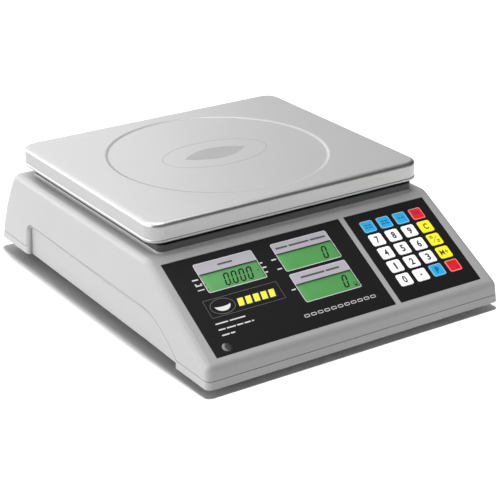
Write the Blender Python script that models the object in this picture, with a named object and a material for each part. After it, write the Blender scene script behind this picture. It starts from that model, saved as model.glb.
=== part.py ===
"""Counting scale: a plastic housing with a sloping panel, twenty keys and three displays, and a stainless pan that
stands on a single-point load cell. A battery, the boards and the load cell are inside; four feet level it.

Metres, +Z up, -Y the operator's side, +X the operator's right. The origin is the bottom centre of the bounding
box, on the surface that the feet stand on.
"""

import math

import bmesh
import bpy
from mathutils import Matrix

GAP = 0.0003                # between pieces that touch
WALL = 0.0028               # moulded walls

# Housing, outside
WIDTH = 0.3163              # across the bottom edge
DEPTH = 0.386
BASE_Z = 0.007              # bottom edge, above the feet's underside
DECK_Z = 0.0857
RIDGE_Y = -0.0876           # the panel ends and the deck begins
BREAK = (-0.1905, 0.0257)   # (y, z) where the panel meets the front face
SIDE_DRAFT = 0.0553         # each side leans in by this much per metre of height
REAR_LEAN = 0.0892          # the rear leans in by this times the height,
REAR_CURVE = 3.345          # and this times its square
EDGE_RADIUS = 0.006

# Line between the upper and the lower housing
PARTING_GAP = 0.0005
PARTING_FRONT_Z = 0.0142
PARTING_REAR_Z = 0.0190
GRIP_FRONT_Y = -0.1423      # the lower housing rises at the sides from here
GRIP_TOP_FRONT_Y = -0.084
GRIP_TOP_FRONT_Z = 0.0413
GRIP_TOP_REAR_Z = 0.0438
GRIP_REAR_Y = 0.1365
GRIP_CORNER = 0.010
GRIP_CURL = 0.9             # how early the rise is steep
GRIP_SINK = 0.0036          # how deep the hand grip lies at its rear end
GRIP_ROLL = 0.0035          # length of the round step at the grip's rear end
GRIP_EDGE = (0.001, 0.006)  # under its upper edge the grip sinks between these two depths
SIDE_LIFT = 0.0048          # behind the front corners the bottom edge is this much higher
GRIP_INNER_X = 0.138

# Sloping panel: its origin is the middle of the overlays' lower edge
PANEL_Y, PANEL_Z = -0.18326, 0.02987
PANEL_ANGLE = math.radians(30.29)
OVERLAY_LENGTH = 0.1012
OVERLAY_SINK = 0.0009       # depth of the recess that the overlays lie in
OVERLAY_THICK = 0.0005
DISPLAY_X = (-0.14273, 0.04457)
KEYPAD_X = (0.05079, 0.14273)
LENS_AT = (-0.1289, 0.0068)
LENS_RADIUS = 0.005

# Displays: centre x, centre along the slope
DISPLAYS = {"weight_display": (-0.0861, 0.0721),
            "unit_weight_display": (-0.0059, 0.0721),
            "count_display": (-0.0060, 0.0370)}
VIEW_AREA = (0.0592, 0.0194)
DISPLAY_BODY = (0.066, 0.026, 0.005)

# Keys
KEY_NAMES = [["key_units", "key_unit_weight", "key_sample", "key_tare"],
             ["key_7", "key_8", "key_9", "key_clear"],
             ["key_4", "key_5", "key_6", "key_sum"],
             ["key_1", "key_2", "key_3", "key_add"],
             ["key_0", "key_point", "key_preset", "key_zero"]]
KEY_FIRST = (0.0685, 0.0850)    # centre of the top left key
KEY_PITCH = (0.0189, 0.01593)
KEY_SIZE = (0.0141, 0.0132)
KEY_RADIUS = 0.002
KEY_PROUD = 0.00045             # above the overlay
KEY_BOTTOM = -0.0023
KEY_COLOURS = {"key_units": "blue", "key_unit_weight": "blue", "key_sample": "blue", "key_tare": "red",
               "key_clear": "yellow", "key_sum": "yellow", "key_add": "yellow",
               "key_preset": "blue", "key_zero": "red"}

# Pan
PAN_SIZE = (0.295, 0.2506)
PAN_Y = 0.03725
PAN_TOP = 0.1146
PAN_RIM_Z = 0.0966
PAN_SHEET = 0.0012
PAN_CORNER = 0.015
PAN_FILLET = 0.0040
HEM = 0.0028
DISC_RADIUS = 0.1053        # the round middle of the pan, pressed in
DISC_DEPTH = 0.0008
DISC_FLANK = 0.004
DISC_SIDES = 48

# Well under the pan
WELL_X = 0.1355
WELL_Y = (-0.0831, 0.1495)
WELL_FLOOR_Z = 0.0717
WELL_CORNER = 0.0035
COLLAR = 0.0025              # wall that stands round the well, under the pan
COLLAR_TOP = 0.0935
LEVEL_AT = (-0.060, 0.139)

# Load cell and what carries the pan
CELL = (0.030, 0.130, 0.022)
CELL_Z = 0.0199
CELL_HOLE = 0.0075
BLOCK = (0.034, 0.030)      # spacers above and below the cell
BASE_PLATE_Z = 0.0103
BASE_PLATE = (0.100, 0.160, 0.003)
SUPPORT_Z = 0.074
SUPPORT_THICK = 0.006
POST_AT = (0.108, 0.078)    # corner posts, from the pan's centre
POST_TOP = 0.106
PAD_RADIUS = 0.0075
SCREW_PITCH = 0.015
M5 = 0.00245                # radius of a screw's shank
M5_HOLE = 0.0029

# Feet and housing screws
FOOT_AT = (0.128, 0.158)
FOOT_RADIUS = 0.013
FOOT_STUD = 0.0041
CASE_SCREW_X = 0.1465
CASE_SCREW_Y = (-0.104, 0.150)
CASE_BOSS_TOP = (0.073, 0.0845)      # inside the sloping panel, inside the deck
CASE_POST_TOP = 0.0297

# Battery, boards, rear bay
BATTERY = ((-0.126, -0.015, 0.012), (-0.056, 0.085, 0.059))
MAIN_BOARD = ((0.060, -0.060, 0.024), (0.132, 0.050, 0.0256))
BAY_X = (0.045, 0.105)
BAY_Z = (0.0235, 0.056)
BAY_Y = 0.172               # flat floor of the rear bay
SWITCH_X, JACK_X, SOCKET_Z = 0.088, 0.062, 0.038
ROCKER_TILT = math.radians(9)


def clear_scene():
    for thing in list(bpy.data.objects):
        bpy.data.objects.remove(thing, do_unlink=True)


def material(name, colour, roughness, metallic=0.0):
    made = bpy.data.materials.get(name) or bpy.data.materials.new(name)
    made.use_nodes = True
    shader = made.node_tree.nodes["Principled BSDF"]
    shader.inputs["Base Color"].default_value = (*colour, 1)
    shader.inputs["Roughness"].default_value = roughness
    shader.inputs["Metallic"].default_value = metallic
    return made


def shell_plastic():
    return material("shell_plastic", (0.62, 0.62, 0.61), 0.45)


def black_plastic():
    return material("black_plastic", (0.02, 0.02, 0.022), 0.5)


def overlay_film():
    return material("overlay_film", (0.012, 0.012, 0.013), 0.35)


def stainless():
    return material("stainless", (0.72, 0.72, 0.71), 0.3, 1.0)


def aluminium():
    return material("aluminium", (0.6, 0.61, 0.62), 0.4, 1.0)


def zinc_steel():
    return material("zinc_steel", (0.5, 0.5, 0.49), 0.35, 1.0)


def rubber():
    return material("rubber", (0.03, 0.03, 0.03), 0.8)


def green_board():
    return material("green_board", (0.02, 0.16, 0.06), 0.4)


def display_glass():
    return material("display_glass", (0.16, 0.5, 0.17), 0.2)


def smoked_lens():
    return material("smoked_lens", (0.03, 0.03, 0.032), 0.2)


def level_vial():
    return material("level_vial", (0.5, 0.6, 0.15), 0.15)


def key_colour(name):
    colours = {"white": (0.85, 0.85, 0.85), "blue": (0.0, 0.3, 0.8),
               "red": (0.75, 0.02, 0.03), "yellow": (0.9, 0.8, 0.02)}
    chosen = KEY_COLOURS.get(name, "white")
    return material("key_" + chosen, colours[chosen], 0.4)


def add_object(name, bm, place=None, look=None):
    """Makes an object of a bmesh. place is its world matrix; the mesh is in its own frame."""
    bmesh.ops.recalc_face_normals(bm, faces=bm.faces)
    mesh = bpy.data.meshes.new(name)
    bm.to_mesh(mesh)
    bm.free()
    made = bpy.data.objects.new(name, mesh)
    bpy.context.scene.collection.objects.link(made)
    if place is not None:
        made.matrix_world = place
    if look is not None:
        mesh.materials.append(look)
    mesh.shade_smooth()
    mesh.set_sharp_from_angle(angle=math.radians(35))
    return made


def skin_rings(bm, rings):
    """Closes a stack of rings with the same number of points into one body, with a cap on each end."""
    loops = [[bm.verts.new(point) for point in ring] for ring in rings]
    count = len(loops[0])
    for below, above in zip(loops, loops[1:]):
        for i in range(count):
            j = (i + 1) % count
            bm.faces.new((below[i], below[j], above[j], above[i]))
    bm.faces.new(loops[0][::-1])
    bm.faces.new(loops[-1])


def add_box(bm, low, high):
    x0, y0, z0 = low
    x1, y1, z1 = high
    outline = ((x0, y0), (x1, y0), (x1, y1), (x0, y1))
    skin_rings(bm, [[(x, y, z) for x, y in outline] for z in (z0, z1)])


def add_prism_x(bm, outline, x0, x1):
    """Extrudes an outline of (y, z) points along X."""
    skin_rings(bm, [[(x, y, z) for y, z in outline] for x in (x0, x1)])


def add_cylinder(bm, x, y, z0, z1, radius, sides=16):
    add_lathe(bm, [(radius, z0), (radius, z1)], sides, (x, y, 0))


def add_lathe(bm, profile, sides, centre=(0, 0, 0)):
    """Turns a profile of (radius, z) points about Z. Both ends are closed with flat caps."""
    cx, cy, cz = centre
    turns = [2 * math.pi * (i + 0.5) / sides for i in range(sides)]
    skin_rings(bm, [[(cx + r * math.cos(a), cy + r * math.sin(a), cz + z) for a in turns] for r, z in profile])


def rounded_outline(half_x, half_y, radius, steps):
    """Points round a rectangle with round corners, steps intervals to each corner."""
    points = []
    for quarter, (sx, sy) in enumerate(((1, 1), (-1, 1), (-1, -1), (1, -1))):
        for i in range(steps + 1):
            a = math.pi / 2 * (quarter + i / steps)
            points.append((sx * (half_x - radius) + radius * math.cos(a),
                           sy * (half_y - radius) + radius * math.sin(a)))
    return points


def add_rounded(bm, centre, size, radius, levels, steps=3):
    """A stack of rounded rectangles. levels holds (inset, z) pairs."""
    rings = []
    for inset, z in levels:
        outline = rounded_outline(size[0] / 2 - inset, size[1] / 2 - inset, max(radius - inset, 0.0004), steps)
        rings.append([(centre[0] + x, centre[1] + y, z) for x, y in outline])
    skin_rings(bm, rings)


def combine(target, operation, bm, place=None):
    """Cuts, joins or intersects target with a helper object made of the bmesh."""
    helper = add_object(f"helper_{target.name}_{len(target.modifiers)}", bm, place)
    helper.hide_render = True
    helper.display_type = "WIRE"
    step = target.modifiers.new(operation.lower(), "BOOLEAN")
    step.operation = operation
    step.solver = "EXACT"
    step.object = helper
    return helper


def cut(target, bm, place=None):
    return combine(target, "DIFFERENCE", bm, place)


def join(target, bm, place=None):
    return combine(target, "UNION", bm, place)


def panel_matrix(x=0.0, s=0.0, height=0.0):
    """Frame on the sloping panel: local X is X, Y runs up the slope and Z stands out of the panel."""
    turn = Matrix.Rotation(PANEL_ANGLE, 4, "X")
    return Matrix.Translation((0, PANEL_Y, PANEL_Z)) @ turn @ Matrix.Translation((x, s, height))


def rear_y(z):
    height = z - BASE_Z
    return DEPTH / 2 - REAR_LEAN * height - REAR_CURVE * height ** 2


def side_x(z):
    return WIDTH / 2 - SIDE_DRAFT * (z - BASE_Z)


def inset_outline(points, inset):
    """Moves each edge of a convex anticlockwise outline inwards."""
    lines = []
    for (ax, ay), (bx, by) in zip(points, points[1:] + points[:1]):
        length = math.hypot(bx - ax, by - ay)
        nx, ny = -(by - ay) / length, (bx - ax) / length
        lines.append((nx, ny, nx * ax + ny * ay + inset))
    found = []
    for (a, b, c), (d, e, f) in zip(lines[-1:] + lines[:-1], lines):
        det = a * e - b * d
        found.append(((c * e - b * f) / det, (a * f - c * d) / det))
    return found


def housing_outline(inset=0.0):
    """Side view (y, z) of the housing: bottom, curved rear, deck, panel, front."""
    rear_steps = 7
    points = [(-DEPTH / 2, BASE_Z)]
    for i in range(rear_steps + 1):
        z = BASE_Z + (DECK_Z - BASE_Z) * i / rear_steps
        points.append((rear_y(z), z))
    points += [(RIDGE_Y, DECK_Z), BREAK]
    return inset_outline(points, inset)


def housing_body(inset=0.0):
    """The outer or the inner block of the housing, with leaning sides. The outer one has round edges."""
    bm = bmesh.new()
    outline = housing_outline(inset)
    sides = []
    for sign in (-1, 1):
        sides.append([bm.verts.new((sign * (side_x(z) - inset), y, z)) for y, z in outline])
    count = len(outline)
    for i in range(count):
        j = (i + 1) % count
        bm.faces.new((sides[0][i], sides[0][j], sides[1][j], sides[1][i]))
    bm.faces.new(sides[0])
    bm.faces.new(sides[1][::-1])
    bmesh.ops.recalc_face_normals(bm, faces=bm.faces)
    if inset == 0.0:
        round_housing(bm)
    return bm


def round_housing(bm):
    """Rounds the edges along both sides, the top of the rear and the foot of the panel."""
    def wanted(edge):
        if len(edge.link_faces) != 2 or edge.calc_face_angle(0) < math.radians(15):
            return False
        return max(v.co.z for v in edge.verts) > BASE_Z + 1e-6
    edges = [edge for edge in bm.edges if wanted(edge)]
    bmesh.ops.bevel(bm, geom=edges, offset=EDGE_RADIUS, offset_type="OFFSET", segments=3, profile=0.5,
                    affect="EDGES", clamp_overlap=True)


def grip_top(y):
    """Height of the parting line along the top of the hand grip."""
    t = (y - GRIP_TOP_FRONT_Y) / (GRIP_REAR_Y - GRIP_CORNER - GRIP_TOP_FRONT_Y)
    return GRIP_TOP_FRONT_Z + (GRIP_TOP_REAR_Z - GRIP_TOP_FRONT_Z) * t


def parting_outline(shift):
    """(y, z) outline of everything below the parting line, which shift moves up or down."""
    steps = 10
    rear, top = GRIP_REAR_Y, GRIP_TOP_REAR_Z
    points = [(-0.25, -0.02), (0.25, -0.02), (0.25, PARTING_REAR_Z + shift)]
    points += [(rear + 0.003, PARTING_REAR_Z + shift), (rear + shift, PARTING_REAR_Z + 0.003)]
    points += [(rear + shift, top - GRIP_CORNER), (rear - 0.003, top - 0.0035 + shift),
               (rear - GRIP_CORNER, top + shift)]
    for i in range(steps + 1):
        t = 1 - i / steps
        y = GRIP_FRONT_Y + (GRIP_TOP_FRONT_Y - GRIP_FRONT_Y) * t
        rise = math.sin(math.pi / 2 * t) ** GRIP_CURL
        points.append((y, PARTING_FRONT_Z + (GRIP_TOP_FRONT_Z - PARTING_FRONT_Z) * rise + shift))
    points.append((-0.25, PARTING_FRONT_Z + shift))
    return points


def grip_sink():
    """(y, depth) along the hand grip: deeper towards its rear end, which is a round step."""
    points = [(GRIP_FRONT_Y, 0.0)]
    steps = 4
    for i in range(steps + 1):
        a = math.pi / 2 * i / steps
        points.append((GRIP_REAR_Y - GRIP_ROLL * math.cos(a), GRIP_SINK * (1 - math.sin(a))))
    return points


def grip_block(deeper=0.0):
    """The two sunk hand grips as blocks outside the housing's sides. deeper moves their inner face further in."""
    sink = grip_sink()
    above, below = GRIP_EDGE
    bm = bmesh.new()
    for sign in (-1, 1):
        rings = []
        for drop, share in ((None, 1), (below, 1), (above, 0.12), (-0.004, 0.12)):
            def level(y):
                return -0.01 if drop is None else grip_top(y) - drop
            ring = []
            for y, depth in [(sink[0][0] - deeper, -0.001)] + sink + [(sink[-1][0] + deeper, -0.001)]:
                ring.append((sign * (side_x(level(y)) - depth * (share if depth > 0 else 1) - deeper), y, level(y)))
            for y in (sink[-1][0] + deeper, sink[0][0] - deeper):
                ring.append((sign * 0.2, y, level(y)))
            rings.append(ring)
        skin_rings(bm, rings)
    return bm


def raised_edge_block(top, inner_x, spread=0.0):
    """Two low blocks under the housing's sides, where its bottom edge is higher behind the front corners."""
    bm = bmesh.new()
    for sign in (-1, 1):
        low, high = sorted((sign * inner_x, sign * 0.2))
        add_box(bm, (low, GRIP_FRONT_Y - spread, -0.01), (high, 0.25, top))
    return bm


def case_screw_places():
    return [(sign * CASE_SCREW_X, y) for sign in (-1, 1) for y in CASE_SCREW_Y]


def foot_places():
    return [(sx * FOOT_AT[0], sy * FOOT_AT[1]) for sy in (-1, 1) for sx in (-1, 1)]


def cell_screw_ys():
    """The load cell's fixed end has two screws, and so does its free end."""
    fixed = PAN_Y - CELL[1] / 2 + BLOCK[1] / 2
    free = PAN_Y + CELL[1] / 2 - BLOCK[1] / 2
    return [[end + side * SCREW_PITCH / 2 for side in (-1, 1)] for end in (fixed, free)]


def lower_housing():
    shell = add_object("lower_housing", housing_body(), look=shell_plastic())
    below = bmesh.new()
    add_prism_x(below, parting_outline(-PARTING_GAP / 2), -0.2, 0.2)
    combine(shell, "INTERSECT", below)
    cut(shell, raised_edge_block(BASE_Z + SIDE_LIFT, GRIP_INNER_X))
    cut(shell, grip_block())
    hollow = cut(shell, housing_body(WALL))
    cut(hollow, grip_block(WALL))
    cut(hollow, raised_edge_block(BASE_Z + SIDE_LIFT + WALL, GRIP_INNER_X - WALL, WALL))

    posts = bmesh.new()
    for x, y in case_screw_places():
        add_cylinder(posts, x, y, BASE_Z + SIDE_LIFT + 0.001, CASE_POST_TOP, 0.0065)
    for x, y in foot_places():
        add_cylinder(posts, x, y, BASE_Z + 0.001, 0.019, 0.008)
    x0, y0, z0 = MAIN_BOARD[0]
    x1, y1, _ = MAIN_BOARD[1]
    for x in (x0 + 0.006, x1 - 0.006):
        for y in (y0 + 0.006, y1 - 0.006):
            add_cylinder(posts, x, y, BASE_Z + 0.001, z0 - GAP, 0.003, 10)
    (bx0, by0, _), (bx1, by1, _) = BATTERY
    add_box(posts, (bx0 - 0.005, by0 - 0.005, BASE_Z + 0.001), (bx1 + 0.005, by1 + 0.005, BASE_Z + 0.005))
    join(shell, posts)

    holes = bmesh.new()
    for x, y in case_screw_places():
        add_lathe(holes, [(0.0042, -0.01), (0.0042, 0.018), (0.0023, 0.018), (0.0023, 0.05)], 16, (x, y, 0))
    for x, y in foot_places():
        add_cylinder(holes, x, y, -0.01, 0.03, FOOT_STUD + 0.0004)
    for y in cell_screw_ys()[0]:
        add_cylinder(holes, 0, y, -0.01, BASE_Z + 0.004, 0.0052)
    add_box(holes, (bx0 - 0.0006, by0 - 0.0006, BASE_Z + 0.002), (bx1 + 0.0006, by1 + 0.0006, 0.03))
    cut(shell, holes)
    rebate = bmesh.new()
    add_box(rebate, (bx0 - 0.003, by0 - 0.003, -0.01), (bx1 + 0.003, by1 + 0.003, BASE_Z + 0.0023))
    cut(shell, rebate)
    return shell


def well_block(bm, spread, low, high=DECK_Z + 0.01):
    y0, y1 = WELL_Y
    add_rounded(bm, (0, (y0 + y1) / 2), (2 * (WELL_X + spread), y1 - y0 + 2 * spread), WELL_CORNER + spread,
                [(0, low), (0, high)], 4)


def upper_housing():
    shell = add_object("upper_housing", housing_body(), look=shell_plastic())
    collar = bmesh.new()
    well_block(collar, COLLAR, WELL_FLOOR_Z, COLLAR_TOP)
    join(shell, collar)
    below = bmesh.new()
    add_prism_x(below, parting_outline(PARTING_GAP / 2), -0.2, 0.2)
    cut(shell, below)
    hollow = cut(shell, housing_body(WALL))
    walls = bmesh.new()
    well_block(walls, WALL, WELL_FLOOR_Z - WALL)
    cut(hollow, walls)
    bay_walls = bmesh.new()
    add_box(bay_walls, (BAY_X[0] - WALL, BAY_Y - WALL, BAY_Z[0] - WALL), (BAY_X[1] + WALL, 0.25, BAY_Z[1] + WALL))
    cut(hollow, bay_walls)

    well = bmesh.new()
    well_block(well, 0.0, WELL_FLOOR_Z)
    cut(shell, well)
    holes = bmesh.new()
    add_box(holes, (BAY_X[0], BAY_Y, BAY_Z[0]), (BAY_X[1], 0.25, BAY_Z[1]))
    free_y = sum(cell_screw_ys()[1]) / 2
    add_box(holes, (-0.020, free_y - 0.0185, WELL_FLOOR_Z - 0.01), (0.020, free_y + 0.0185, WELL_FLOOR_Z + 0.001))
    cut(shell, holes)
    sockets = bmesh.new()
    add_box(sockets, (SWITCH_X - 0.0068, BAY_Y - 0.01, SOCKET_Z - 0.0103),
            (SWITCH_X + 0.0068, BAY_Y + 0.001, SOCKET_Z + 0.0103))
    cut(shell, sockets)
    jack_hole = bmesh.new()
    add_cylinder(jack_hole, 0, 0, -0.01, 0.001, 0.0049)
    cut(shell, jack_hole, Matrix.Translation((JACK_X, BAY_Y, SOCKET_Z)) @ Matrix.Rotation(-math.pi / 2, 4, "X"))

    sunk = bmesh.new()
    for x0, x1 in (DISPLAY_X, KEYPAD_X):
        add_box(sunk, (x0 - 0.0003, -0.0003, -OVERLAY_SINK), (x1 + 0.0003, OVERLAY_LENGTH + 0.0003, 0.002))
    cut(shell, sunk, panel_matrix())
    windows = bmesh.new()
    for x, s in DISPLAYS.values():
        half_x, half_s = DISPLAY_BODY[0] / 2 + 0.0005, DISPLAY_BODY[1] / 2 + 0.0005
        add_box(windows, (x - half_x, s - half_s, -0.006), (x + half_x, s + half_s, 0.001))
    (x0, s0), (x1, s1) = key_field(0.0015)
    add_box(windows, (x0, s0, -0.006), (x1, s1, 0.001))
    add_cylinder(windows, LENS_AT[0], LENS_AT[1], -0.006, 0.001, LENS_RADIUS + 0.0003, 20)
    cut(shell, windows, panel_matrix())

    bosses = bmesh.new()
    for (x, y), top in zip(case_screw_places(), 2 * CASE_BOSS_TOP):
        add_cylinder(bosses, x, y, CASE_POST_TOP + 2 * GAP, top, 0.0045, 14)
    join(shell, bosses)
    pilots = bmesh.new()
    for x, y in case_screw_places():
        add_cylinder(pilots, x, y, 0.02, 0.046, 0.0022, 12)
    cut(shell, pilots)
    return shell


def key_centres():
    """(name, x, s) of each key."""
    for row, names in enumerate(KEY_NAMES):
        for column, name in enumerate(names):
            yield name, KEY_FIRST[0] + column * KEY_PITCH[0], KEY_FIRST[1] - row * KEY_PITCH[1]


def key_field(margin):
    """Lowest and highest (x, s) corners of the block of keys, with a margin round it."""
    xs = [x for _, x, _ in key_centres()]
    ss = [s for _, _, s in key_centres()]
    half_x, half_s = KEY_SIZE[0] / 2 + margin, KEY_SIZE[1] / 2 + margin
    return (min(xs) - half_x, min(ss) - half_s), (max(xs) + half_x, max(ss) + half_s)


def overlay(name, span):
    low, high = -OVERLAY_SINK + GAP, -OVERLAY_SINK + GAP + OVERLAY_THICK
    bm = bmesh.new()
    add_box(bm, (span[0], 0, low), (span[1], OVERLAY_LENGTH, high))
    return add_object(name, bm, panel_matrix(), overlay_film())


def display_overlay():
    film = overlay("display_overlay", DISPLAY_X)
    holes = bmesh.new()
    for x, s in DISPLAYS.values():
        add_rounded(holes, (x, s), VIEW_AREA, 0.001, [(0, -0.003), (0, 0.003)])
    add_cylinder(holes, LENS_AT[0], LENS_AT[1], -0.003, 0.003, LENS_RADIUS + 0.0003, 20)
    cut(film, holes, panel_matrix())


def keypad_overlay():
    film = overlay("keypad_overlay", KEYPAD_X)
    holes = bmesh.new()
    size = (KEY_SIZE[0] + 2 * GAP, KEY_SIZE[1] + 2 * GAP)
    for _, x, s in key_centres():
        add_rounded(holes, (x, s), size, KEY_RADIUS + GAP, [(0, -0.003), (0, 0.003)])
    cut(film, holes, panel_matrix())


def keys():
    top = KEY_PROUD - OVERLAY_SINK + GAP + OVERLAY_THICK
    for name, x, s in key_centres():
        bm = bmesh.new()
        add_rounded(bm, (0, 0), KEY_SIZE, KEY_RADIUS, [(0, KEY_BOTTOM), (0, top - 0.0003), (0.0004, top)])
        add_object(name, bm, panel_matrix(x, s), key_colour(name))


def status_lens():
    bm = bmesh.new()
    add_lathe(bm, [(LENS_RADIUS, -0.0026), (LENS_RADIUS, -0.0001), (LENS_RADIUS - 0.0006, 0.0002)], 20)
    add_object("status_lens", bm, panel_matrix(*LENS_AT), smoked_lens())


def displays():
    half_x, half_s, deep = DISPLAY_BODY[0] / 2, DISPLAY_BODY[1] / 2, DISPLAY_BODY[2]
    top = -OVERLAY_SINK - GAP
    for name, (x, s) in DISPLAYS.items():
        bm = bmesh.new()
        add_box(bm, (-half_x, -half_s, top - deep), (half_x, half_s, top))
        add_object(name, bm, panel_matrix(x, s), display_glass())


def panel_boards():
    for name, low, high in (("display_board", (-0.125, 0.018, -0.0108), (0.040, 0.092, -0.0092)),
                            ("keypad_board", (0.054, 0.008, -0.0047), (0.139, 0.096, -0.0031))):
        bm = bmesh.new()
        add_box(bm, low, high)
        add_object(name, bm, panel_matrix(), green_board())


def main_board():
    (x0, y0, z0), (x1, y1, z1) = MAIN_BOARD
    bm = bmesh.new()
    add_box(bm, (x0, y0, z0), (x1, y1, z1))
    board = add_object("main_board", bm, look=green_board())
    parts = bmesh.new()
    add_box(parts, (x0 + 0.012, y0 + 0.030, z1 - 0.0005), (x0 + 0.026, y0 + 0.044, z1 + 0.002))
    add_box(parts, (x0 + 0.040, y0 + 0.028, z1 - 0.0005), (x0 + 0.048, y0 + 0.040, z1 + 0.0015))
    add_box(parts, (x0 + 0.010, y1 - 0.012, z1 - 0.0005), (x0 + 0.040, y1 - 0.004, z1 + 0.008))
    add_cylinder(parts, x1 - 0.020, y1 - 0.030, z1 - 0.0005, z1 + 0.014, 0.006)
    join(board, parts)


def pan():
    """One drawn sheet: flat top with a round middle pressed in, a skirt all round and a hem folded inwards."""
    levels = [(PAN_SHEET + 0.0022, PAN_TOP - PAN_SHEET), (PAN_SHEET, PAN_TOP - PAN_SHEET - 0.0022),
              (PAN_SHEET, PAN_RIM_Z + 0.0034), (HEM, PAN_RIM_Z + 0.0028), (HEM, PAN_RIM_Z + 0.0006),
              (HEM - 0.0006, PAN_RIM_Z), (0.0006, PAN_RIM_Z), (0, PAN_RIM_Z + 0.0006)]
    for i in range(4):
        a = math.pi / 2 * i / 3
        levels.append((PAN_FILLET * (1 - math.cos(a)), PAN_TOP - PAN_FILLET * (1 - math.sin(a))))
    bm = bmesh.new()
    add_rounded(bm, (0, 0), PAN_SIZE, PAN_CORNER, levels, 5)
    tray = add_object("pan", bm, Matrix.Translation((0, PAN_Y, 0)), stainless())
    inner, outer, underside = DISC_RADIUS - DISC_FLANK / 2, DISC_RADIUS + DISC_FLANK / 2, PAN_TOP - PAN_SHEET
    bulge = bmesh.new()
    add_lathe(bulge, [(inner, underside - DISC_DEPTH), (outer + DISC_FLANK / 2, underside + DISC_DEPTH / 2)], DISC_SIDES)
    join(tray, bulge, Matrix.Translation((0, PAN_Y, 0)))
    dish = bmesh.new()
    add_lathe(dish, [(inner, PAN_TOP - DISC_DEPTH), (outer + DISC_FLANK, PAN_TOP + DISC_DEPTH)], DISC_SIDES)
    cut(tray, dish, Matrix.Translation((0, PAN_Y, 0)))


def pan_support():
    """Cast cross with a middle plate and four corner posts."""
    top = SUPPORT_Z + SUPPORT_THICK
    plate = bmesh.new()
    add_box(plate, (-0.040, -0.068, SUPPORT_Z), (0.040, 0.068, top))
    cross = add_object("pan_support", plate, Matrix.Translation((0, PAN_Y, 0)), black_plastic())
    reach = math.hypot(*POST_AT)
    turn = math.atan2(POST_AT[1], POST_AT[0])
    for sign in (-1, 1):
        arm = bmesh.new()
        add_box(arm, (-reach, -0.008, SUPPORT_Z + 0.0005), (reach, 0.008, top + 0.004))
        join(cross, arm, Matrix.Translation((0, PAN_Y, 0)) @ Matrix.Rotation(sign * turn, 4, "Z"))
    posts = bmesh.new()
    for x, y in post_places():
        add_cylinder(posts, x, y, SUPPORT_Z + 0.001, POST_TOP, 0.0095, 18)
    join(cross, posts)
    holes = bmesh.new()
    for y in cell_screw_ys()[1]:
        add_cylinder(holes, 0, y, SUPPORT_Z - 0.01, top + 0.01, M5_HOLE, 12)
    cut(cross, holes)


def post_places():
    return [(sx * POST_AT[0], PAN_Y + sy * POST_AT[1]) for sy in (-1, 1) for sx in (-1, 1)]


def support_pads():
    low, high = POST_TOP + GAP, PAN_TOP - PAN_SHEET - GAP
    for i, (x, y) in enumerate(post_places()):
        bm = bmesh.new()
        add_lathe(bm, [(PAD_RADIUS, low), (PAD_RADIUS, high - 0.002), (PAD_RADIUS - 0.0015, high)], 16)
        add_object(f"support_pad_{i + 1}", bm, Matrix.Translation((x, y, 0)), rubber())


def load_cell():
    half_x, half_y = CELL[0] / 2, CELL[1] / 2
    bm = bmesh.new()
    add_box(bm, (-half_x, PAN_Y - half_y, CELL_Z), (half_x, PAN_Y + half_y, CELL_Z + CELL[2]))
    beam = add_object("load_cell", bm, look=aluminium())
    across = Matrix.Translation((0, PAN_Y, CELL_Z + CELL[2] / 2)) @ Matrix.Rotation(math.pi / 2, 4, "Y")
    for y in (-0.014, 0.014):
        hole = bmesh.new()
        add_cylinder(hole, 0, y, -0.03, 0.03, CELL_HOLE, 24)
        cut(beam, hole, across)
    slot = bmesh.new()
    add_box(slot, (-0.0025, -0.014, -0.03), (0.0025, 0.014, 0.03))
    cut(beam, slot, across)
    fixed, free = cell_screw_ys()
    taps = bmesh.new()
    for y in fixed:
        add_cylinder(taps, 0, y, CELL_Z - 0.01, CELL_Z + 0.014, M5_HOLE, 12)
    for y in free:
        add_cylinder(taps, 0, y, CELL_Z + 0.009, CELL_Z + CELL[2] + 0.01, M5_HOLE, 12)
    cut(beam, taps)


def spacer(name, ys, low, high):
    """A block between the load cell and what it is screwed to, with two clearance holes."""
    middle = sum(ys) / 2
    bm = bmesh.new()
    add_box(bm, (-BLOCK[0] / 2, middle - BLOCK[1] / 2, low), (BLOCK[0] / 2, middle + BLOCK[1] / 2, high))
    block = add_object(name, bm, look=aluminium())
    holes = bmesh.new()
    for y in ys:
        add_cylinder(holes, 0, y, low - 0.01, high + 0.01, M5_HOLE, 12)
    cut(block, holes)


def spacers():
    fixed, free = cell_screw_ys()
    spacer("lower_spacer", fixed, BASE_PLATE_Z + BASE_PLATE[2] + GAP, CELL_Z - GAP)
    spacer("upper_spacer", free, CELL_Z + CELL[2] + GAP, SUPPORT_Z - GAP)


def base_plate():
    """Folded steel channel that stiffens the floor under the load cell."""
    half_x, half_y, thick = BASE_PLATE[0] / 2, BASE_PLATE[1] / 2, BASE_PLATE[2]
    high = BASE_PLATE_Z + 0.012
    outline = [(-half_x, BASE_PLATE_Z), (half_x, BASE_PLATE_Z), (half_x, high), (half_x - thick, high),
               (half_x - thick, BASE_PLATE_Z + thick), (-half_x + thick, BASE_PLATE_Z + thick),
               (-half_x + thick, high), (-half_x, high)]
    bm = bmesh.new()
    skin_rings(bm, [[(x, y, z) for x, z in outline] for y in (PAN_Y - half_y, PAN_Y + half_y)])
    channel = add_object("base_plate", bm, look=zinc_steel())
    holes = bmesh.new()
    for y in cell_screw_ys()[0]:
        add_cylinder(holes, 0, y, 0, 0.03, M5_HOLE, 12)
    cut(channel, holes)


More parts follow.
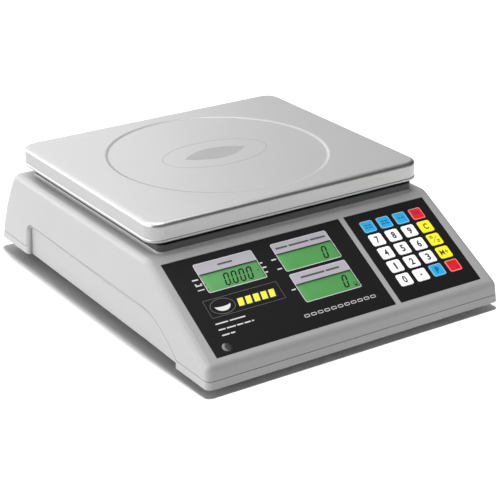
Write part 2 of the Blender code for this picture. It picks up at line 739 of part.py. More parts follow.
def screw(name, place, head, shank, look):
    """head is (radius, low, high) and shank (radius, end); the shank leaves the head away from its outer face."""
    head_radius, outer, inner = head
    radius, end = shank
    bm = bmesh.new()
    add_lathe(bm, [(head_radius, outer), (head_radius, inner), (radius, inner), (radius, end)], 12)
    made = add_object(name, bm, Matrix.Translation((*place, 0)), look)
    socket = bmesh.new()
    depth = 0.0015 if inner > outer else -0.0015
    add_lathe(socket, sorted([(head_radius / 2, outer - depth), (head_radius / 2, outer + depth)],
                             key=lambda point: point[1]), 6)
    cut(made, socket, Matrix.Translation((*place, 0)))


def screws():
    fixed, free = cell_screw_ys()
    for i, y in enumerate(free):
        top = SUPPORT_Z + SUPPORT_THICK + GAP
        screw(f"upper_cell_screw_{i + 1}", (0, y), (0.0045, top + 0.004, top), (M5, CELL_Z + 0.011), zinc_steel())
    for i, y in enumerate(fixed):
        screw(f"lower_cell_screw_{i + 1}", (0, y), (0.0045, BASE_Z + 0.0002, BASE_PLATE_Z - GAP),
              (M5, CELL_Z + 0.012), zinc_steel())
    for i, place in enumerate(case_screw_places()):
        screw(f"case_screw_{i + 1}", place, (0.0036, 0.0145, 0.0177), (0.0019, 0.044), zinc_steel())


def levelling_feet():
    """Round rubber-faced pads on threaded studs, with the origin on the stud's axis."""
    profile = [(FOOT_RADIUS - 0.001, 0.0), (FOOT_RADIUS, 0.001), (FOOT_RADIUS, 0.0045),
               (FOOT_RADIUS - 0.0015, 0.0064), (FOOT_STUD, 0.0064), (FOOT_STUD, 0.0215)]
    for i, (x, y) in enumerate(foot_places()):
        bm = bmesh.new()
        add_lathe(bm, profile, 20)
        add_object(f"levelling_foot_{i + 1}", bm, Matrix.Translation((x, y, 0)), rubber())


def battery():
    (x0, y0, z0), (x1, y1, z1) = BATTERY
    bm = bmesh.new()
    add_box(bm, (x0, y0, z0), (x1, y1, z1 - 0.004))
    block = add_object("battery", bm, look=black_plastic())
    top = bmesh.new()
    add_box(top, (x0 + 0.004, y0 + 0.004, z1 - 0.006), (x1 - 0.004, y1 - 0.004, z1))
    join(block, top)


def battery_cover():
    (x0, y0, _), (x1, y1, _) = BATTERY
    spread = 0.0027
    bm = bmesh.new()
    add_box(bm, (x0 - spread, y0 - spread, BASE_Z + 0.0003), (x1 + spread, y1 + spread, BASE_Z + 0.002))
    cover = add_object("battery_cover", bm, look=shell_plastic())
    ribs = bmesh.new()
    for i in range(4):
        y = y0 + 0.010 + 0.004 * i
        add_box(ribs, (x0 + 0.025, y, BASE_Z - 0.001), (x1 - 0.025, y + 0.0018, BASE_Z + 0.0009))
    cut(cover, ribs)


def power_switch():
    """Rocker switch in the rear bay. The rocker turns about X; it is stored tilted to off."""
    face = BAY_Y + GAP
    bm = bmesh.new()
    add_box(bm, (-0.008, face, -0.0115), (0.008, face + 0.0015, 0.0115))
    body = add_object("switch_body", bm, Matrix.Translation((SWITCH_X, 0, SOCKET_Z)), black_plastic())
    barrel = bmesh.new()
    add_box(barrel, (-0.0065, face - 0.014, -0.010), (0.0065, face + 0.0005, 0.010))
    join(body, barrel, Matrix.Translation((SWITCH_X, 0, SOCKET_Z)))
    terminals = bmesh.new()
    for z in (-0.006, 0.006):
        add_box(terminals, (-0.002, face - 0.021, z - 0.0004), (0.002, face - 0.0135, z + 0.0004))
    join(body, terminals, Matrix.Translation((SWITCH_X, 0, SOCKET_Z)))
    cavity = bmesh.new()
    add_box(cavity, (-0.0055, face - 0.0075, -0.0094), (0.0055, face + 0.01, 0.0094))
    cut(body, cavity, Matrix.Translation((SWITCH_X, 0, SOCKET_Z)))

    outline = [(-0.001, -0.0080), (-0.0035, 0.0), (-0.001, 0.0080), (0.0036, 0.0082), (0.0022, 0.0), (0.0036, -0.0082)]
    rocker = bmesh.new()
    add_prism_x(rocker, outline, -0.0051, 0.0051)
    place = Matrix.Translation((SWITCH_X, BAY_Y, SOCKET_Z)) @ Matrix.Rotation(ROCKER_TILT, 4, "X")
    add_object("power_rocker", rocker, place, black_plastic())


def dc_jack():
    """Power inlet in the rear bay: a flanged tube with a centre pin, open towards the rear."""
    profile = [(0.0046, -0.012), (0.0046, GAP), (0.0065, GAP), (0.0065, 0.0022), (0.0031, 0.0022),
               (0.0031, -0.008), (0.0010, -0.008), (0.0010, 0.001)]
    bm = bmesh.new()
    add_lathe(bm, profile, 12)
    place = Matrix.Translation((JACK_X, BAY_Y, SOCKET_Z)) @ Matrix.Rotation(-math.pi / 2, 4, "X")
    add_object("dc_jack", bm, place, black_plastic())


def spirit_level():
    bm = bmesh.new()
    low = WELL_FLOOR_Z + GAP
    add_lathe(bm, [(0.009, low), (0.009, low + 0.004), (0.0075, low + 0.0055)], 20)
    add_object("spirit_level", bm, Matrix.Translation((*LEVEL_AT, 0)), level_vial())


def main():
    clear_scene()
    lower_housing()
    upper_housing()
    display_overlay()
    keypad_overlay()
    keys()
    status_lens()
    displays()
    panel_boards()
    main_board()
    pan()
    pan_support()
    support_pads()
    load_cell()
    spacers()
    base_plate()
    screws()
    levelling_feet()
    battery()
    battery_cover()
    power_switch()
    dc_jack()
    spirit_level()


main()
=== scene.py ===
"""Looks of the counting scale: fine shells, pan, printed panel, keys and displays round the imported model.

Metres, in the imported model's frame: +Z up, -Y the operator's side, +X the operator's right.
"""

from math import atan2, cos, hypot, pi, radians, sin, sqrt, tan

import bmesh
import bpy
from mathutils import Matrix, Vector


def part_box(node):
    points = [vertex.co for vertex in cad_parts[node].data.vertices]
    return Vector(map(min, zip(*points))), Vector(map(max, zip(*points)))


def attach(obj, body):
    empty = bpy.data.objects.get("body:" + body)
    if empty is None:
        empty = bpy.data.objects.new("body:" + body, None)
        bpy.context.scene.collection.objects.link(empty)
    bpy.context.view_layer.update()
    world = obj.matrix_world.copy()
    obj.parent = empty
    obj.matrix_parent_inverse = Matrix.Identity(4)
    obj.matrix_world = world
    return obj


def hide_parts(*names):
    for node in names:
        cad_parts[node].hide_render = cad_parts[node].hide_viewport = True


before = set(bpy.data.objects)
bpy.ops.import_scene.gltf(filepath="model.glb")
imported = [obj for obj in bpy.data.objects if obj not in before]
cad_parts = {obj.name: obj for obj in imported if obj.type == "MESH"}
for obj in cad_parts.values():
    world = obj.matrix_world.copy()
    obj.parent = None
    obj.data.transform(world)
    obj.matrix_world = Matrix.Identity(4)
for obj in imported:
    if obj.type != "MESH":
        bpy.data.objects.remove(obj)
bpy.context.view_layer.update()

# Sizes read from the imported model
CASE_LOW, CASE_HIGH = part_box("lower_housing")
PAN_LOW, PAN_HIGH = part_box("pan")
WIDTH = CASE_HIGH.x - CASE_LOW.x
DEPTH = CASE_HIGH.y - CASE_LOW.y
BASE_Z = CASE_LOW.z
COLLAR_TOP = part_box("upper_housing")[1].z
PAN_SIZE = (PAN_HIGH.x - PAN_LOW.x, PAN_HIGH.y - PAN_LOW.y)
PAN_Y = (PAN_LOW.y + PAN_HIGH.y) / 2
PAN_RIM_Z = PAN_LOW.z

# Housing
WALL = 0.0028
DECK_Z = 0.0857
RIDGE_Y = -0.0876               # the panel ends and the deck begins
BREAK = (-0.1905, 0.0257)       # (y, z) where the panel meets the front face
SIDE_DRAFT = 0.0553
REAR_LEAN = 0.0892
REAR_CURVE = 3.345
SIDE_ROUND = 0.006              # radius along both sides
RIDGE_TANGENT = 0.0035          # how far each rounding reaches from its corner
BREAK_TANGENT = 0.0042
REAR_RADIUS = 0.0105
PARTING_GAP = 0.0005
PARTING_FRONT_Z = 0.0142
PARTING_REAR_Z = 0.0190
GRIP_FRONT_Y = -0.1423          # the lower shell rises at the sides from here
GRIP_TOP_FRONT_Y = -0.084
GRIP_TOP_FRONT_Z = 0.0413
GRIP_TOP_REAR_Z = 0.0438
GRIP_REAR_Y = 0.1365
GRIP_CURL = 0.9                 # how early the rise is steep
GRIP_SINK = 0.0036              # how deep the grip lies at its rear end
GRIP_ROLL = 0.0035              # length of the round step at its rear end
GRIP_EDGE = 0.0042              # the grip sinks over this much under its upper edge
GRIP_LEAN = 0.03                # and leans inwards this much towards its bottom
SIDE_LIFT = 0.0048              # behind the front corners the bottom edge is this much higher
GRIP_INNER_X = 0.138
GRIP_CORNER = 0.010
WELL_X = 0.1355
WELL_Y = (-0.0831, 0.1495)
WELL_FLOOR_Z = 0.0717
WELL_CORNER = 0.0035
COLLAR = 0.0025                 # wall that stands round the well, under the pan
COLLAR_FLARE = (0.0036, 0.0014, 0.0030)     # reach of the hollow curve at the collar's foot, along X, Y and Z
COLLAR_ROUND = 0.0009

# Sloping panel: its origin is the middle of the overlays' lower edge
PANEL_Y, PANEL_Z = -0.18326, 0.02987
PANEL_ANGLE = radians(30.29)
OVERLAY_LENGTH = 0.1012
OVERLAY_SINK = 0.0009
FILM_LOW, FILM_TOP = -0.0006, -0.0001
DISPLAY_X = (-0.14273, 0.04457)
KEYPAD_X = (0.05079, 0.14273)
LENS_AT = (-0.1289, 0.0068)
LENS_RADIUS = 0.005
VIEW_AREA = (0.0592, 0.0194)
GLASS = (0.066, 0.026, 0.005)
GLASS_TOP = -0.0012
GLASS_GAP = 0.0005              # free space between a display and the hole in the panel
KEY_SIZE = (0.0141, 0.0132)
KEY_RADIUS = 0.002
KEY_TOP = 0.00035
INK = 0.00004                   # how far a print stands above what it is printed on
PRINT = (FILM_TOP - 0.00002, FILM_TOP + INK)

# Pan
PAN_TOP = 0.1146
PAN_SHEET = 0.0012
PAN_CORNER = 0.015
PAN_FILLET = 0.0042
DISC_RADIUS = 0.1053
DISC_DEPTH = 0.0008
DISC_FLANK = 0.004

# Rear bay
BAY_X = (0.045, 0.105)
BAY_Z = (0.0235, 0.056)
BAY_Y = 0.172
SWITCH_X, JACK_X, SOCKET_Z = 0.088, 0.062, 0.038
ROCKER_TILT = radians(9)


# ---------------------------------------------------------------- materials

def node(tree, kind, inputs=None, **settings):
    """Adds a shader node. An input that is a socket is linked, and any other is set."""
    made = tree.nodes.new("ShaderNode" + kind)
    for key, value in settings.items():
        setattr(made, key, value)
    for key, value in (inputs or {}).items():
        if isinstance(value, bpy.types.NodeSocket):
            tree.links.new(value, made.inputs[key])
        else:
            made.inputs[key].default_value = value
    return made


def ramp(tree, factor, stops, interpolation="LINEAR"):
    """Colour ramp over (position, colour) stops; returns its colour socket."""
    made = node(tree, "ValToRGB", {"Fac": factor})
    made.color_ramp.interpolation = interpolation
    elements = made.color_ramp.elements
    while len(elements) < len(stops):
        elements.new(0.5)
    for element, (position, colour) in zip(elements, stops):
        element.position = position
        element.color = (*colour, 1)
    return made.outputs["Color"]


def spread(tree, factor, low, high, start=0.0, end=1.0):
    limits = {"From Min": start, "From Max": end, "To Min": low, "To Max": high}
    return node(tree, "MapRange", {"Value": factor, **limits}).outputs["Result"]


def noise(tree, where, scale, detail=3.0, roughness=0.5):
    inputs = {"Vector": where, "Scale": scale, "Detail": detail, "Roughness": roughness}
    return node(tree, "TexNoise", inputs).outputs[0]


def blend(tree, factor, first, second, how="MIX"):
    made = node(tree, "Mix", data_type="RGBA", blend_type=how)
    for key, value in ((0, factor), (6, first), (7, second)):
        if isinstance(value, bpy.types.NodeSocket):
            tree.links.new(value, made.inputs[key])
        else:
            made.inputs[key].default_value = value if key == 0 else (*value, 1)
    return made.outputs[2]


def tinted(colour, amount):
    return tuple(min(1.0, channel * amount) for channel in colour)


def surface(name, colour, roughness, mottle=(20.0, 0.05), grain=(1500.0, 0.1), stretch=(1, 1, 1), vary=0.05,
            depth=0.0001, **sockets):
    """Material whose colour drifts a little, with a fine grain in its height and its roughness.

    mottle is (scale, share of the colour); grain is (scale, strength); stretch scales the grain's coordinates.
    Returns the material, its tree, its shader and the stretched coordinates.
    """
    made = bpy.data.materials.new(name)
    made.use_nodes = True
    tree = made.node_tree
    shader = tree.nodes["Principled BSDF"]
    shader.inputs["Roughness"].default_value = roughness
    for key, value in sockets.items():
        shader.inputs[key.replace("_", " ").title().replace("Ior", "IOR")].default_value = value
    where = node(tree, "TexCoord").outputs["Object"]
    drift = noise(tree, where, mottle[0], 4.0)
    base = ramp(tree, drift, [(0.3, tinted(colour, 1 - mottle[1])), (0.7, tinted(colour, 1 + mottle[1]))])
    tree.links.new(base, shader.inputs["Base Color"])
    along = node(tree, "Mapping", {"Vector": where, "Scale": stretch}).outputs["Vector"]
    fine = noise(tree, along, grain[0], 2.0)
    gloss = spread(tree, fine, roughness - vary, roughness + vary, 0.25, 0.75)
    tree.links.new(gloss, shader.inputs["Roughness"])
    bump = node(tree, "Bump", {"Height": fine, "Strength": grain[1], "Distance": depth})
    tree.links.new(bump.outputs["Normal"], shader.inputs["Normal"])
    return made, tree, shader, along


def multiply_base(tree, shader, colour):
    """Multiplies the shader's colour by another one."""
    base = shader.inputs["Base Color"].links[0].from_socket
    tree.links.new(blend(tree, 1.0, base, colour, "MULTIPLY"), shader.inputs["Base Color"])


def object_place(tree):
    return node(tree, "TexCoord").outputs["Object"]


def shell_plastic():
    """Light grey ABS with a fine spark-eroded texture and faint handling marks."""
    colour = (0.30, 0.30, 0.299)
    made, tree, shader, _ = surface("shell_plastic", colour, 0.44, (14.0, 0.025), (2600.0, 0.22), vary=0.06)
    speck = noise(tree, object_place(tree), 900.0, 1.0)
    multiply_base(tree, shader, ramp(tree, speck, [(0.30, (0.93, 0.93, 0.93)), (0.42, (1, 1, 1))]))
    return made


def brushed_steel():
    """Stainless sheet brushed along X: long streaks in colour, gloss and height."""
    made, tree, shader, along = surface("brushed_steel", (0.39, 0.39, 0.389), 0.38, (7.0, 0.02), (2400.0, 0.04),
                                        (0.006, 1, 1), 0.04, 0.00002, metallic=1.0)
    streak = noise(tree, along, 700.0, 5.0, 0.6)
    multiply_base(tree, shader, ramp(tree, streak, [(0.25, (0.96, 0.96, 0.96)), (0.75, (1.0, 1.0, 1.0))]))
    return made


def lcd_glass():
    """Green backlit display: brighter near the lamp at the left and lower edges, with painted shade that
    darkens it towards its upper edge, most of all along that edge.
    """
    made, tree, shader, _ = surface("lcd_glass", (0.06, 0.21, 0.062), 0.22, (60.0, 0.04), (3000.0, 0.02),
                                    vary=0.03)
    axes = node(tree, "SeparateXYZ", {"Vector": object_place(tree)})
    across = spread(tree, axes.outputs["X"], 0.0, 1.0, -VIEW_AREA[0] / 2, VIEW_AREA[0] / 2)
    up = spread(tree, axes.outputs["Y"], 0.0, 1.0, -VIEW_AREA[1] / 2, VIEW_AREA[1] / 2)
    lamp = ramp(tree, across, [(0.0, (0.17, 0.88, 0.15)), (0.13, (0.085, 0.47, 0.08)),
                               (0.5, (0.075, 0.40, 0.075)), (1.0, (0.085, 0.38, 0.095))])
    # painted shade: darker towards the upper edge and darkest along it, where the overlay's edge would shade
    # the glass
    shade = ramp(tree, up, [(0.0, (1.06, 1.06, 1.06)), (0.25, (1, 1, 1)), (0.85, (0.92, 0.92, 0.92)),
                            (0.97, (0.55, 0.55, 0.55))])
    tree.links.new(blend(tree, 1.0, lamp, shade, "MULTIPLY"), shader.inputs["Emission Color"])
    shader.inputs["Emission Strength"].default_value = 0.22
    return made


def plated_steel():
    """Zinc plate with the slight yellow and blue drift of its passivation."""
    made, tree, shader, _ = surface("plated_steel", (0.52, 0.51, 0.48), 0.32, (80.0, 0.06), (1500.0, 0.08),
                                    vary=0.08, depth=0.00005, metallic=1.0)
    drift = noise(tree, object_place(tree), 35.0)
    multiply_base(tree, shader, ramp(tree, drift, [(0.35, (0.94, 0.97, 1.0)), (0.65, (1.0, 0.97, 0.90))]))
    return made


def circuit_board():
    """Green solder mask over copper runs."""
    made, tree, shader, _ = surface("circuit_board", (0.015, 0.13, 0.05), 0.34, (30.0, 0.08), (900.0, 0.05),
                                    vary=0.05, coat_weight=0.3)
    runs = node(tree, "TexBrick", {"Vector": object_place(tree), "Scale": 130.0, "Mortar Size": 0.07,
                                   "Mortar Smooth": 0.1, "Bias": 0.0, "Brick Width": 1.4, "Row Height": 0.34})
    base = shader.inputs["Base Color"].links[0].from_socket
    tree.links.new(blend(tree, runs.outputs["Fac"], base, (0.03, 0.22, 0.07)), shader.inputs["Base Color"])
    return made


# Looks that need no nodes of their own: (colour, roughness, mottle, grain, other settings of surface)
BLACK = (0.022, 0.022, 0.023)
PLAIN_LOOKS = {
    "floor_paint": ((0.88, 0.88, 0.88), 0.8, (1.2, 0.004), (60.0, 0.02), {}),
    "overlay_film": ((0.0042, 0.0042, 0.0046), 0.55, (60.0, 0.1), (3000.0, 0.12), {"specular_ior_level": 0.12}),
    "segment_dark": ((0.004, 0.012, 0.005), 0.5, (20.0, 0.05), (1500.0, 0.1), {"specular_ior_level": 0.1}),
    "smoked_lens": ((0.022, 0.022, 0.024), 0.16, (200.0, 0.15), (1800.0, 0.04),
                    {"vary": 0.04, "coat_weight": 0.5}),
    "black_plastic": (BLACK, 0.48, (40.0, 0.12), (1800.0, 0.2), {"vary": 0.08}),
    "cast_black": (BLACK, 0.55, (40.0, 0.12), (1800.0, 0.2), {"vary": 0.08}),
    # near-black strip round the collar: a guessed part whose colour paints the shade in the gap under the pan's
    # front edge
    "shade_strip_black": ((0.032, 0.032, 0.032), 0.5, (60.0, 0.12), (1600.0, 0.2), {}),
    "black_rubber": ((0.028, 0.028, 0.028), 0.74, (90.0, 0.2), (1300.0, 0.3), {"vary": 0.08}),
    "battery_case": ((0.035, 0.035, 0.038), 0.5, (30.0, 0.15), (1500.0, 0.16), {"vary": 0.08}),
    "vial_glass": ((0.55, 0.68, 0.1), 0.08, (150.0, 0.08), (600.0, 0.02), {"vary": 0.02, "coat_weight": 0.6}),
    "etched_steel": ((0.3, 0.3, 0.3), 0.5, (60.0, 0.04), (1500.0, 0.05), {"vary": 0.04, "metallic": 1.0}),
    "cast_aluminium": ((0.55, 0.56, 0.57), 0.38, (60.0, 0.06), (1800.0, 0.1),
                       {"stretch": (1, 0.05, 1), "vary": 0.08, "depth": 0.00005, "metallic": 1.0}),
}
INKS = {"white_ink": (0.62, 0.62, 0.62), "dark_ink": (0.05, 0.045, 0.06), "border_ink": (0.60, 0.60, 0.62),
        "silver_ink": (0.37, 0.355, 0.40), "grey_ink": (0.13, 0.13, 0.14), "yellow_ink": (0.83, 0.78, 0.02),
        "blue_ink": (0.03, 0.03, 0.24), "key_outline": (0.55, 0.52, 0.55)}
# Film and legend of each colour of key
KEY_FILMS = {"white": ((0.97, 0.97, 0.975), (0.012, 0.012, 0.012)),
             "blue": ((0.004, 0.36, 0.70), (0.006, 0.05, 0.18)),
             "red": ((0.72, 0.0035, 0.012), (0.16, 0.002, 0.02)),
             "yellow": ((0.93, 0.84, 0.015), (0.03, 0.028, 0.01))}


def ink(name, colour):
    """Screen-printed ink: slightly uneven cover."""
    return surface(name, colour, 0.4, (900.0, 0.05), (2500.0, 0.08))[0]


def all_looks():
    """Every material by its name."""
    made = {name: surface(name, colour, roughness, mottle, grain, **others)[0]
            for name, (colour, roughness, mottle, grain, others) in PLAIN_LOOKS.items()}
    made |= {name: ink(name, colour) for name, colour in INKS.items()}
    for colour, (film, print_colour) in KEY_FILMS.items():
        made[f"key_{colour}"] = surface(f"key_{colour}", film, 0.42, (120.0, 0.03), (2200.0, 0.10), vary=0.06,
                                        specular_ior_level=0.3)[0]
        made[f"key_ink_{colour}"] = ink(f"key_ink_{colour}", print_colour)
    for make in (shell_plastic, brushed_steel, lcd_glass, plated_steel, circuit_board):
        made[make.__name__] = make()
    return made


# ---------------------------------------------------------------- mesh helpers

def quarter(steps, first=0):
    """(cosine, sine) pairs along a quarter turn."""
    turns = [pi / 2 * i / steps for i in range(first, steps + 1)]
    return [(cos(a), sin(a)) for a in turns]


def join_rings(bm, rings, around=False):
    """Walls between rings with the same number of points; around adds them from the last to the first."""
    loops = [[bm.verts.new(point) for point in ring] for ring in rings]
    count = len(loops[0])
    for near, far in zip(loops, loops[1:] + (loops[:1] if around else [])):
        for i in range(count):
            j = (i + 1) % count
            bm.faces.new((near[i], near[j], far[j], far[i]))
    return loops


def skin_rings(bm, rings):
    """Closes a stack of rings into one body, with a cap on each end."""
    loops = join_rings(bm, rings)
    bm.faces.new(loops[0][::-1])
    bm.faces.new(loops[-1])
    return bm


def add_box(bm, low, high):
    x0, y0, z0 = low
    x1, y1, z1 = high
    outline = ((x0, y0), (x1, y0), (x1, y1), (x0, y1))
    return skin_rings(bm, [[(x, y, z) for x, y in outline] for z in (z0, z1)])


def add_prism_x(bm, outline, x0, x1):
    return skin_rings(bm, [[(x, y, z) for y, z in outline] for x in (x0, x1)])


def add_plate(bm, outline, low, high):
    """Extrudes an outline of (x, y) points from low to high."""
    return skin_rings(bm, [[(x, y, z) for x, y in outline] for z in (low, high)])


def add_lathe(bm, profile, sides, centre=(0, 0, 0)):
    cx, cy, cz = centre
    turns = [2 * pi * (i + 0.5) / sides for i in range(sides)]
    rings = [[(cx + r * cos(a), cy + r * sin(a), cz + z) for a in turns] for r, z in profile]
    return skin_rings(bm, rings)


def add_cylinder(bm, x, y, z0, z1, radius, sides=40):
    return add_lathe(bm, [(radius, z0), (radius, z1)], sides, (x, y, 0))


def add_collar(bm, outer, inner, low, high):
    """A flat ring between two outlines with the same number of points."""
    sides = ((outer, low), (outer, high), (inner, high), (inner, low))
    join_rings(bm, [[(x, y, z) for x, y in outline] for outline, z in sides], around=True)
    return bm


def rounded_outline(half_x, half_y, radius, steps, straight=1):
    """Points round a rectangle with round corners; straight is the number of intervals along each side."""
    points = []
    arc = quarter(steps)
    for c, s, sx, sy in ((1, 0, 1, 1), (0, 1, -1, 1), (-1, 0, -1, -1), (0, -1, 1, -1)):
        corner = [(sx * (half_x - radius) + radius * (c * along - s * up),
                   sy * (half_y - radius) + radius * (s * along + c * up)) for along, up in arc]
        if points:
            points += between(points[-1], corner[0], straight)
        points += corner
    return points + between(points[-1], points[0], straight)


def between(start, end, count):
    """The points that split a line into count parts, without its ends."""
    return [(start[0] + (end[0] - start[0]) * i / count, start[1] + (end[1] - start[1]) * i / count)
            for i in range(1, count)]


def add_rounded(bm, centre, size, radius, levels, steps=8):
    """A stack of rounded rectangles. levels holds (inset, z) pairs."""
    rings = []
    for inset, z in levels:
        outline = rounded_outline(size[0] / 2 - inset, size[1] / 2 - inset, max(radius - inset, 0.0002), steps)
        rings.append([(centre[0] + x, centre[1] + y, z) for x, y in outline])
    return skin_rings(bm, rings)


def edge_levels(low, high, radius, steps=4):
    """(inset, z) levels of a body whose lower and upper edges are rounded."""
    lower = [(radius * (1 - s), low + radius * (1 - c)) for c, s in quarter(steps)]
    return lower + [(radius * (1 - c), high - radius * (1 - s)) for c, s in quarter(steps)]


def mesh_object(name, bm, place=None):
    """Links an object made of a bmesh, which is used up."""
    bmesh.ops.recalc_face_normals(bm, faces=bm.faces)
    mesh = bpy.data.meshes.new(name)
    bm.to_mesh(mesh)
    bm.free()
    made = bpy.data.objects.new(name, mesh)
    bpy.context.scene.collection.objects.link(made)
    if place is not None:
        made.matrix_world = place
    return made


def discard(thing):
    mesh = thing.data
    bpy.data.objects.remove(thing, do_unlink=True)
    bpy.data.meshes.remove(mesh)


def boolean(bm, operation, tool, place=None):
    """The bmesh after a Boolean with another one. Both are used up."""
    body, cutter = mesh_object("body", bm), mesh_object("cutter", tool, place)
    step = body.modifiers.new("step", "BOOLEAN")
    step.operation = operation
    step.solver = "EXACT"
    step.object = cutter
    result = bmesh.new()
    result.from_object(body, bpy.context.evaluated_depsgraph_get())
    discard(body)
    discard(cutter)
    return result


def subtract(bm, tool, place=None):
    return boolean(bm, "DIFFERENCE", tool, place)


def unite(bm, tool, place=None):
    return boolean(bm, "UNION", tool, place)


def soften(bm, width, angle=32, segments=2):
    """Rounds every edge sharper than angle."""
    bmesh.ops.remove_doubles(bm, verts=bm.verts, dist=0.00001)
    bmesh.ops.dissolve_degenerate(bm, edges=bm.edges, dist=0.00001)
    limit = radians(angle)
    edges = [e for e in bm.edges if len(e.link_faces) == 2 and e.calc_face_angle(0) > limit]
    bmesh.ops.bevel(bm, geom=edges, offset=width, offset_type="OFFSET", segments=segments, profile=0.5,
                    affect="EDGES", clamp_overlap=True)
    return bm


def piece(name, bm, look, body, replaced=(), place=None, sharp=32):
    """Makes a piece of a bmesh, smooth up to the sharp angle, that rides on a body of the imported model."""
    made = mesh_object(name, bm, place)
    made.data.materials.append(look)
    made.data.shade_smooth()
    made.data.set_sharp_from_angle(angle=radians(sharp))
    weighted = made.modifiers.new("weighted_normals", "WEIGHTED_NORMAL")
    weighted.keep_sharp = True
    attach(made, body)
    if replaced:
        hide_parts(*replaced)
    return made


def panel_matrix(x=0.0, s=0.0, height=0.0):
    """Frame on the sloping panel: local X is X, Y runs up the slope and Z stands out of the panel."""
    turn = Matrix.Rotation(PANEL_ANGLE, 4, "X")
    return Matrix.Translation((0, PANEL_Y, PANEL_Z)) @ turn @ Matrix.Translation((x, s, height))


def on_panel(name):
    """(x, s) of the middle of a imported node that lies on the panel."""
    low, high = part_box(name)
    local = panel_matrix().inverted() @ ((low + high) / 2)
    return local.x, local.y


# ---------------------------------------------------------------- housing

def rear_y(z):
    height = z - BASE_Z
    return DEPTH / 2 - REAR_LEAN * height - (REAR_CURVE * height ** 2 if height > 0 else 0)


def rear_normal(z):
    slope = REAR_LEAN + 2 * REAR_CURVE * max(z - BASE_Z, 0)
    size = hypot(1, slope)
    return 1 / size, slope / size


def side_x(z):
    return WIDTH / 2 - SIDE_DRAFT * (z - BASE_Z)


def arc_points(centre, radius, first, last, steps):
    """(y, z, ny, nz) along an arc, from the normal at angle first to that at angle last."""
    points = []
    for i in range(steps + 1):
        a = first + (last - first) * i / steps
        points.append((centre[0] + radius * cos(a), centre[1] + radius * sin(a), cos(a), sin(a)))
    return points


def corner_arc(corner, first, last, tangent, steps):
    """Arc that rounds the corner between two faces, given the angles of their normals."""
    radius = tangent / tan((last - first) / 2)
    ny, nz = cos(first) + cos(last), sin(first) + sin(last)
    share = 1 + cos(last - first)
    centre = (corner[0] - radius * ny / share, corner[1] - radius * nz / share)
    return arc_points(centre, radius, first, last, steps)


def rear_top_arc(steps):
    """Where the curved rear turns into the deck: the height at which it leaves the curve, and the arc."""
    low, high = BASE_Z, DECK_Z
    for _ in range(40):
        z = (low + high) / 2
        if z - REAR_RADIUS * rear_normal(z)[1] > DECK_Z - REAR_RADIUS:
            high = z
        else:
            low = z
    ny, nz = rear_normal(z)
    centre = (rear_y(z) - REAR_RADIUS * ny, DECK_Z - REAR_RADIUS)
    return z, arc_points(centre, REAR_RADIUS, atan2(nz, ny), pi / 2, steps)


def side_profile():
    """Side view of the housing as (y, z, ny, nz), down to below its bottom edge, with every corner rounded."""
    below = 0.02
    front_angle = pi - atan2(BREAK[0] + DEPTH / 2, BREAK[1] - BASE_Z)
    panel_angle = pi / 2 + atan2(DECK_Z - BREAK[1], RIDGE_Y - BREAK[0])
    front = (cos(front_angle), sin(front_angle))
    reach = below / front[0] * front[1]
    points = [(-DEPTH / 2 + reach, BASE_Z - below, *front)]
    leave, top = rear_top_arc(8)
    rear_steps = 18
    points.append((rear_y(BASE_Z - below), BASE_Z - below, *rear_normal(BASE_Z)))
    for i in range(rear_steps):
        z = BASE_Z + (leave - BASE_Z) * i / rear_steps
        points.append((rear_y(z), z, *rear_normal(z)))
    points += top
    points += corner_arc((RIDGE_Y, DECK_Z), pi / 2, panel_angle, RIDGE_TANGENT, 6)
    points += corner_arc(BREAK, panel_angle, front_angle, BREAK_TANGENT, 7)
    return points


def trim_below(bm, z):
    """Cuts everything under a height off and closes the cut."""
    geometry = bm.verts[:] + bm.edges[:] + bm.faces[:]
    bmesh.ops.bisect_plane(bm, geom=geometry, plane_co=(0, 0, z), plane_no=(0, 0, -1), clear_outer=True)
    rim = [e for e in bm.edges if e.is_boundary]
    bmesh.ops.holes_fill(bm, edges=rim, sides=0)
    return bm


def side_ring(profile, sign, inset, back):
    """The side view moved in by inset, at a distance back from the left or the right side."""
    moved = [(y - inset * ny, z - inset * nz) for y, z, ny, nz in profile]
    return [(sign * (side_x(z) - back), y, z) for y, z in moved]


def housing_block():
    """The outer block of the housing, rounded along both sides by insetting its side view step by step."""
    profile = side_profile()
    rings = []
    for sign in (-1, 1):
        for c, s in quarter(7)[::sign]:
            rings.append(side_ring(profile, sign, SIDE_ROUND * (1 - c), SIDE_ROUND * (1 - s)))
    return trim_below(skin_rings(bmesh.new(), rings), BASE_Z)


def inner_block(floor_z):
    """The space inside the housing's walls, above a floor height."""
    profile = side_profile()
    rings = [side_ring(profile, sign, WALL, WALL) for sign in (-1, 1)]
    return trim_below(skin_rings(bmesh.new(), rings), floor_z)


def grip_top(y):
    """Height of the parting line over the hand grip: a curve, then a line, then a round rear end."""
    flat_end = GRIP_REAR_Y - GRIP_CORNER
    if y < GRIP_TOP_FRONT_Y:
        t = max(0.0, (y - GRIP_FRONT_Y) / (GRIP_TOP_FRONT_Y - GRIP_FRONT_Y))
        return PARTING_FRONT_Z + (GRIP_TOP_FRONT_Z - PARTING_FRONT_Z) * sin(pi / 2 * t) ** GRIP_CURL
    if y < flat_end:
        t = (y - GRIP_TOP_FRONT_Y) / (flat_end - GRIP_TOP_FRONT_Y)
        return GRIP_TOP_FRONT_Z + (GRIP_TOP_REAR_Z - GRIP_TOP_FRONT_Z) * t
    across = min(y - flat_end, GRIP_CORNER)
    return GRIP_TOP_REAR_Z - GRIP_CORNER + sqrt(GRIP_CORNER ** 2 - across ** 2)


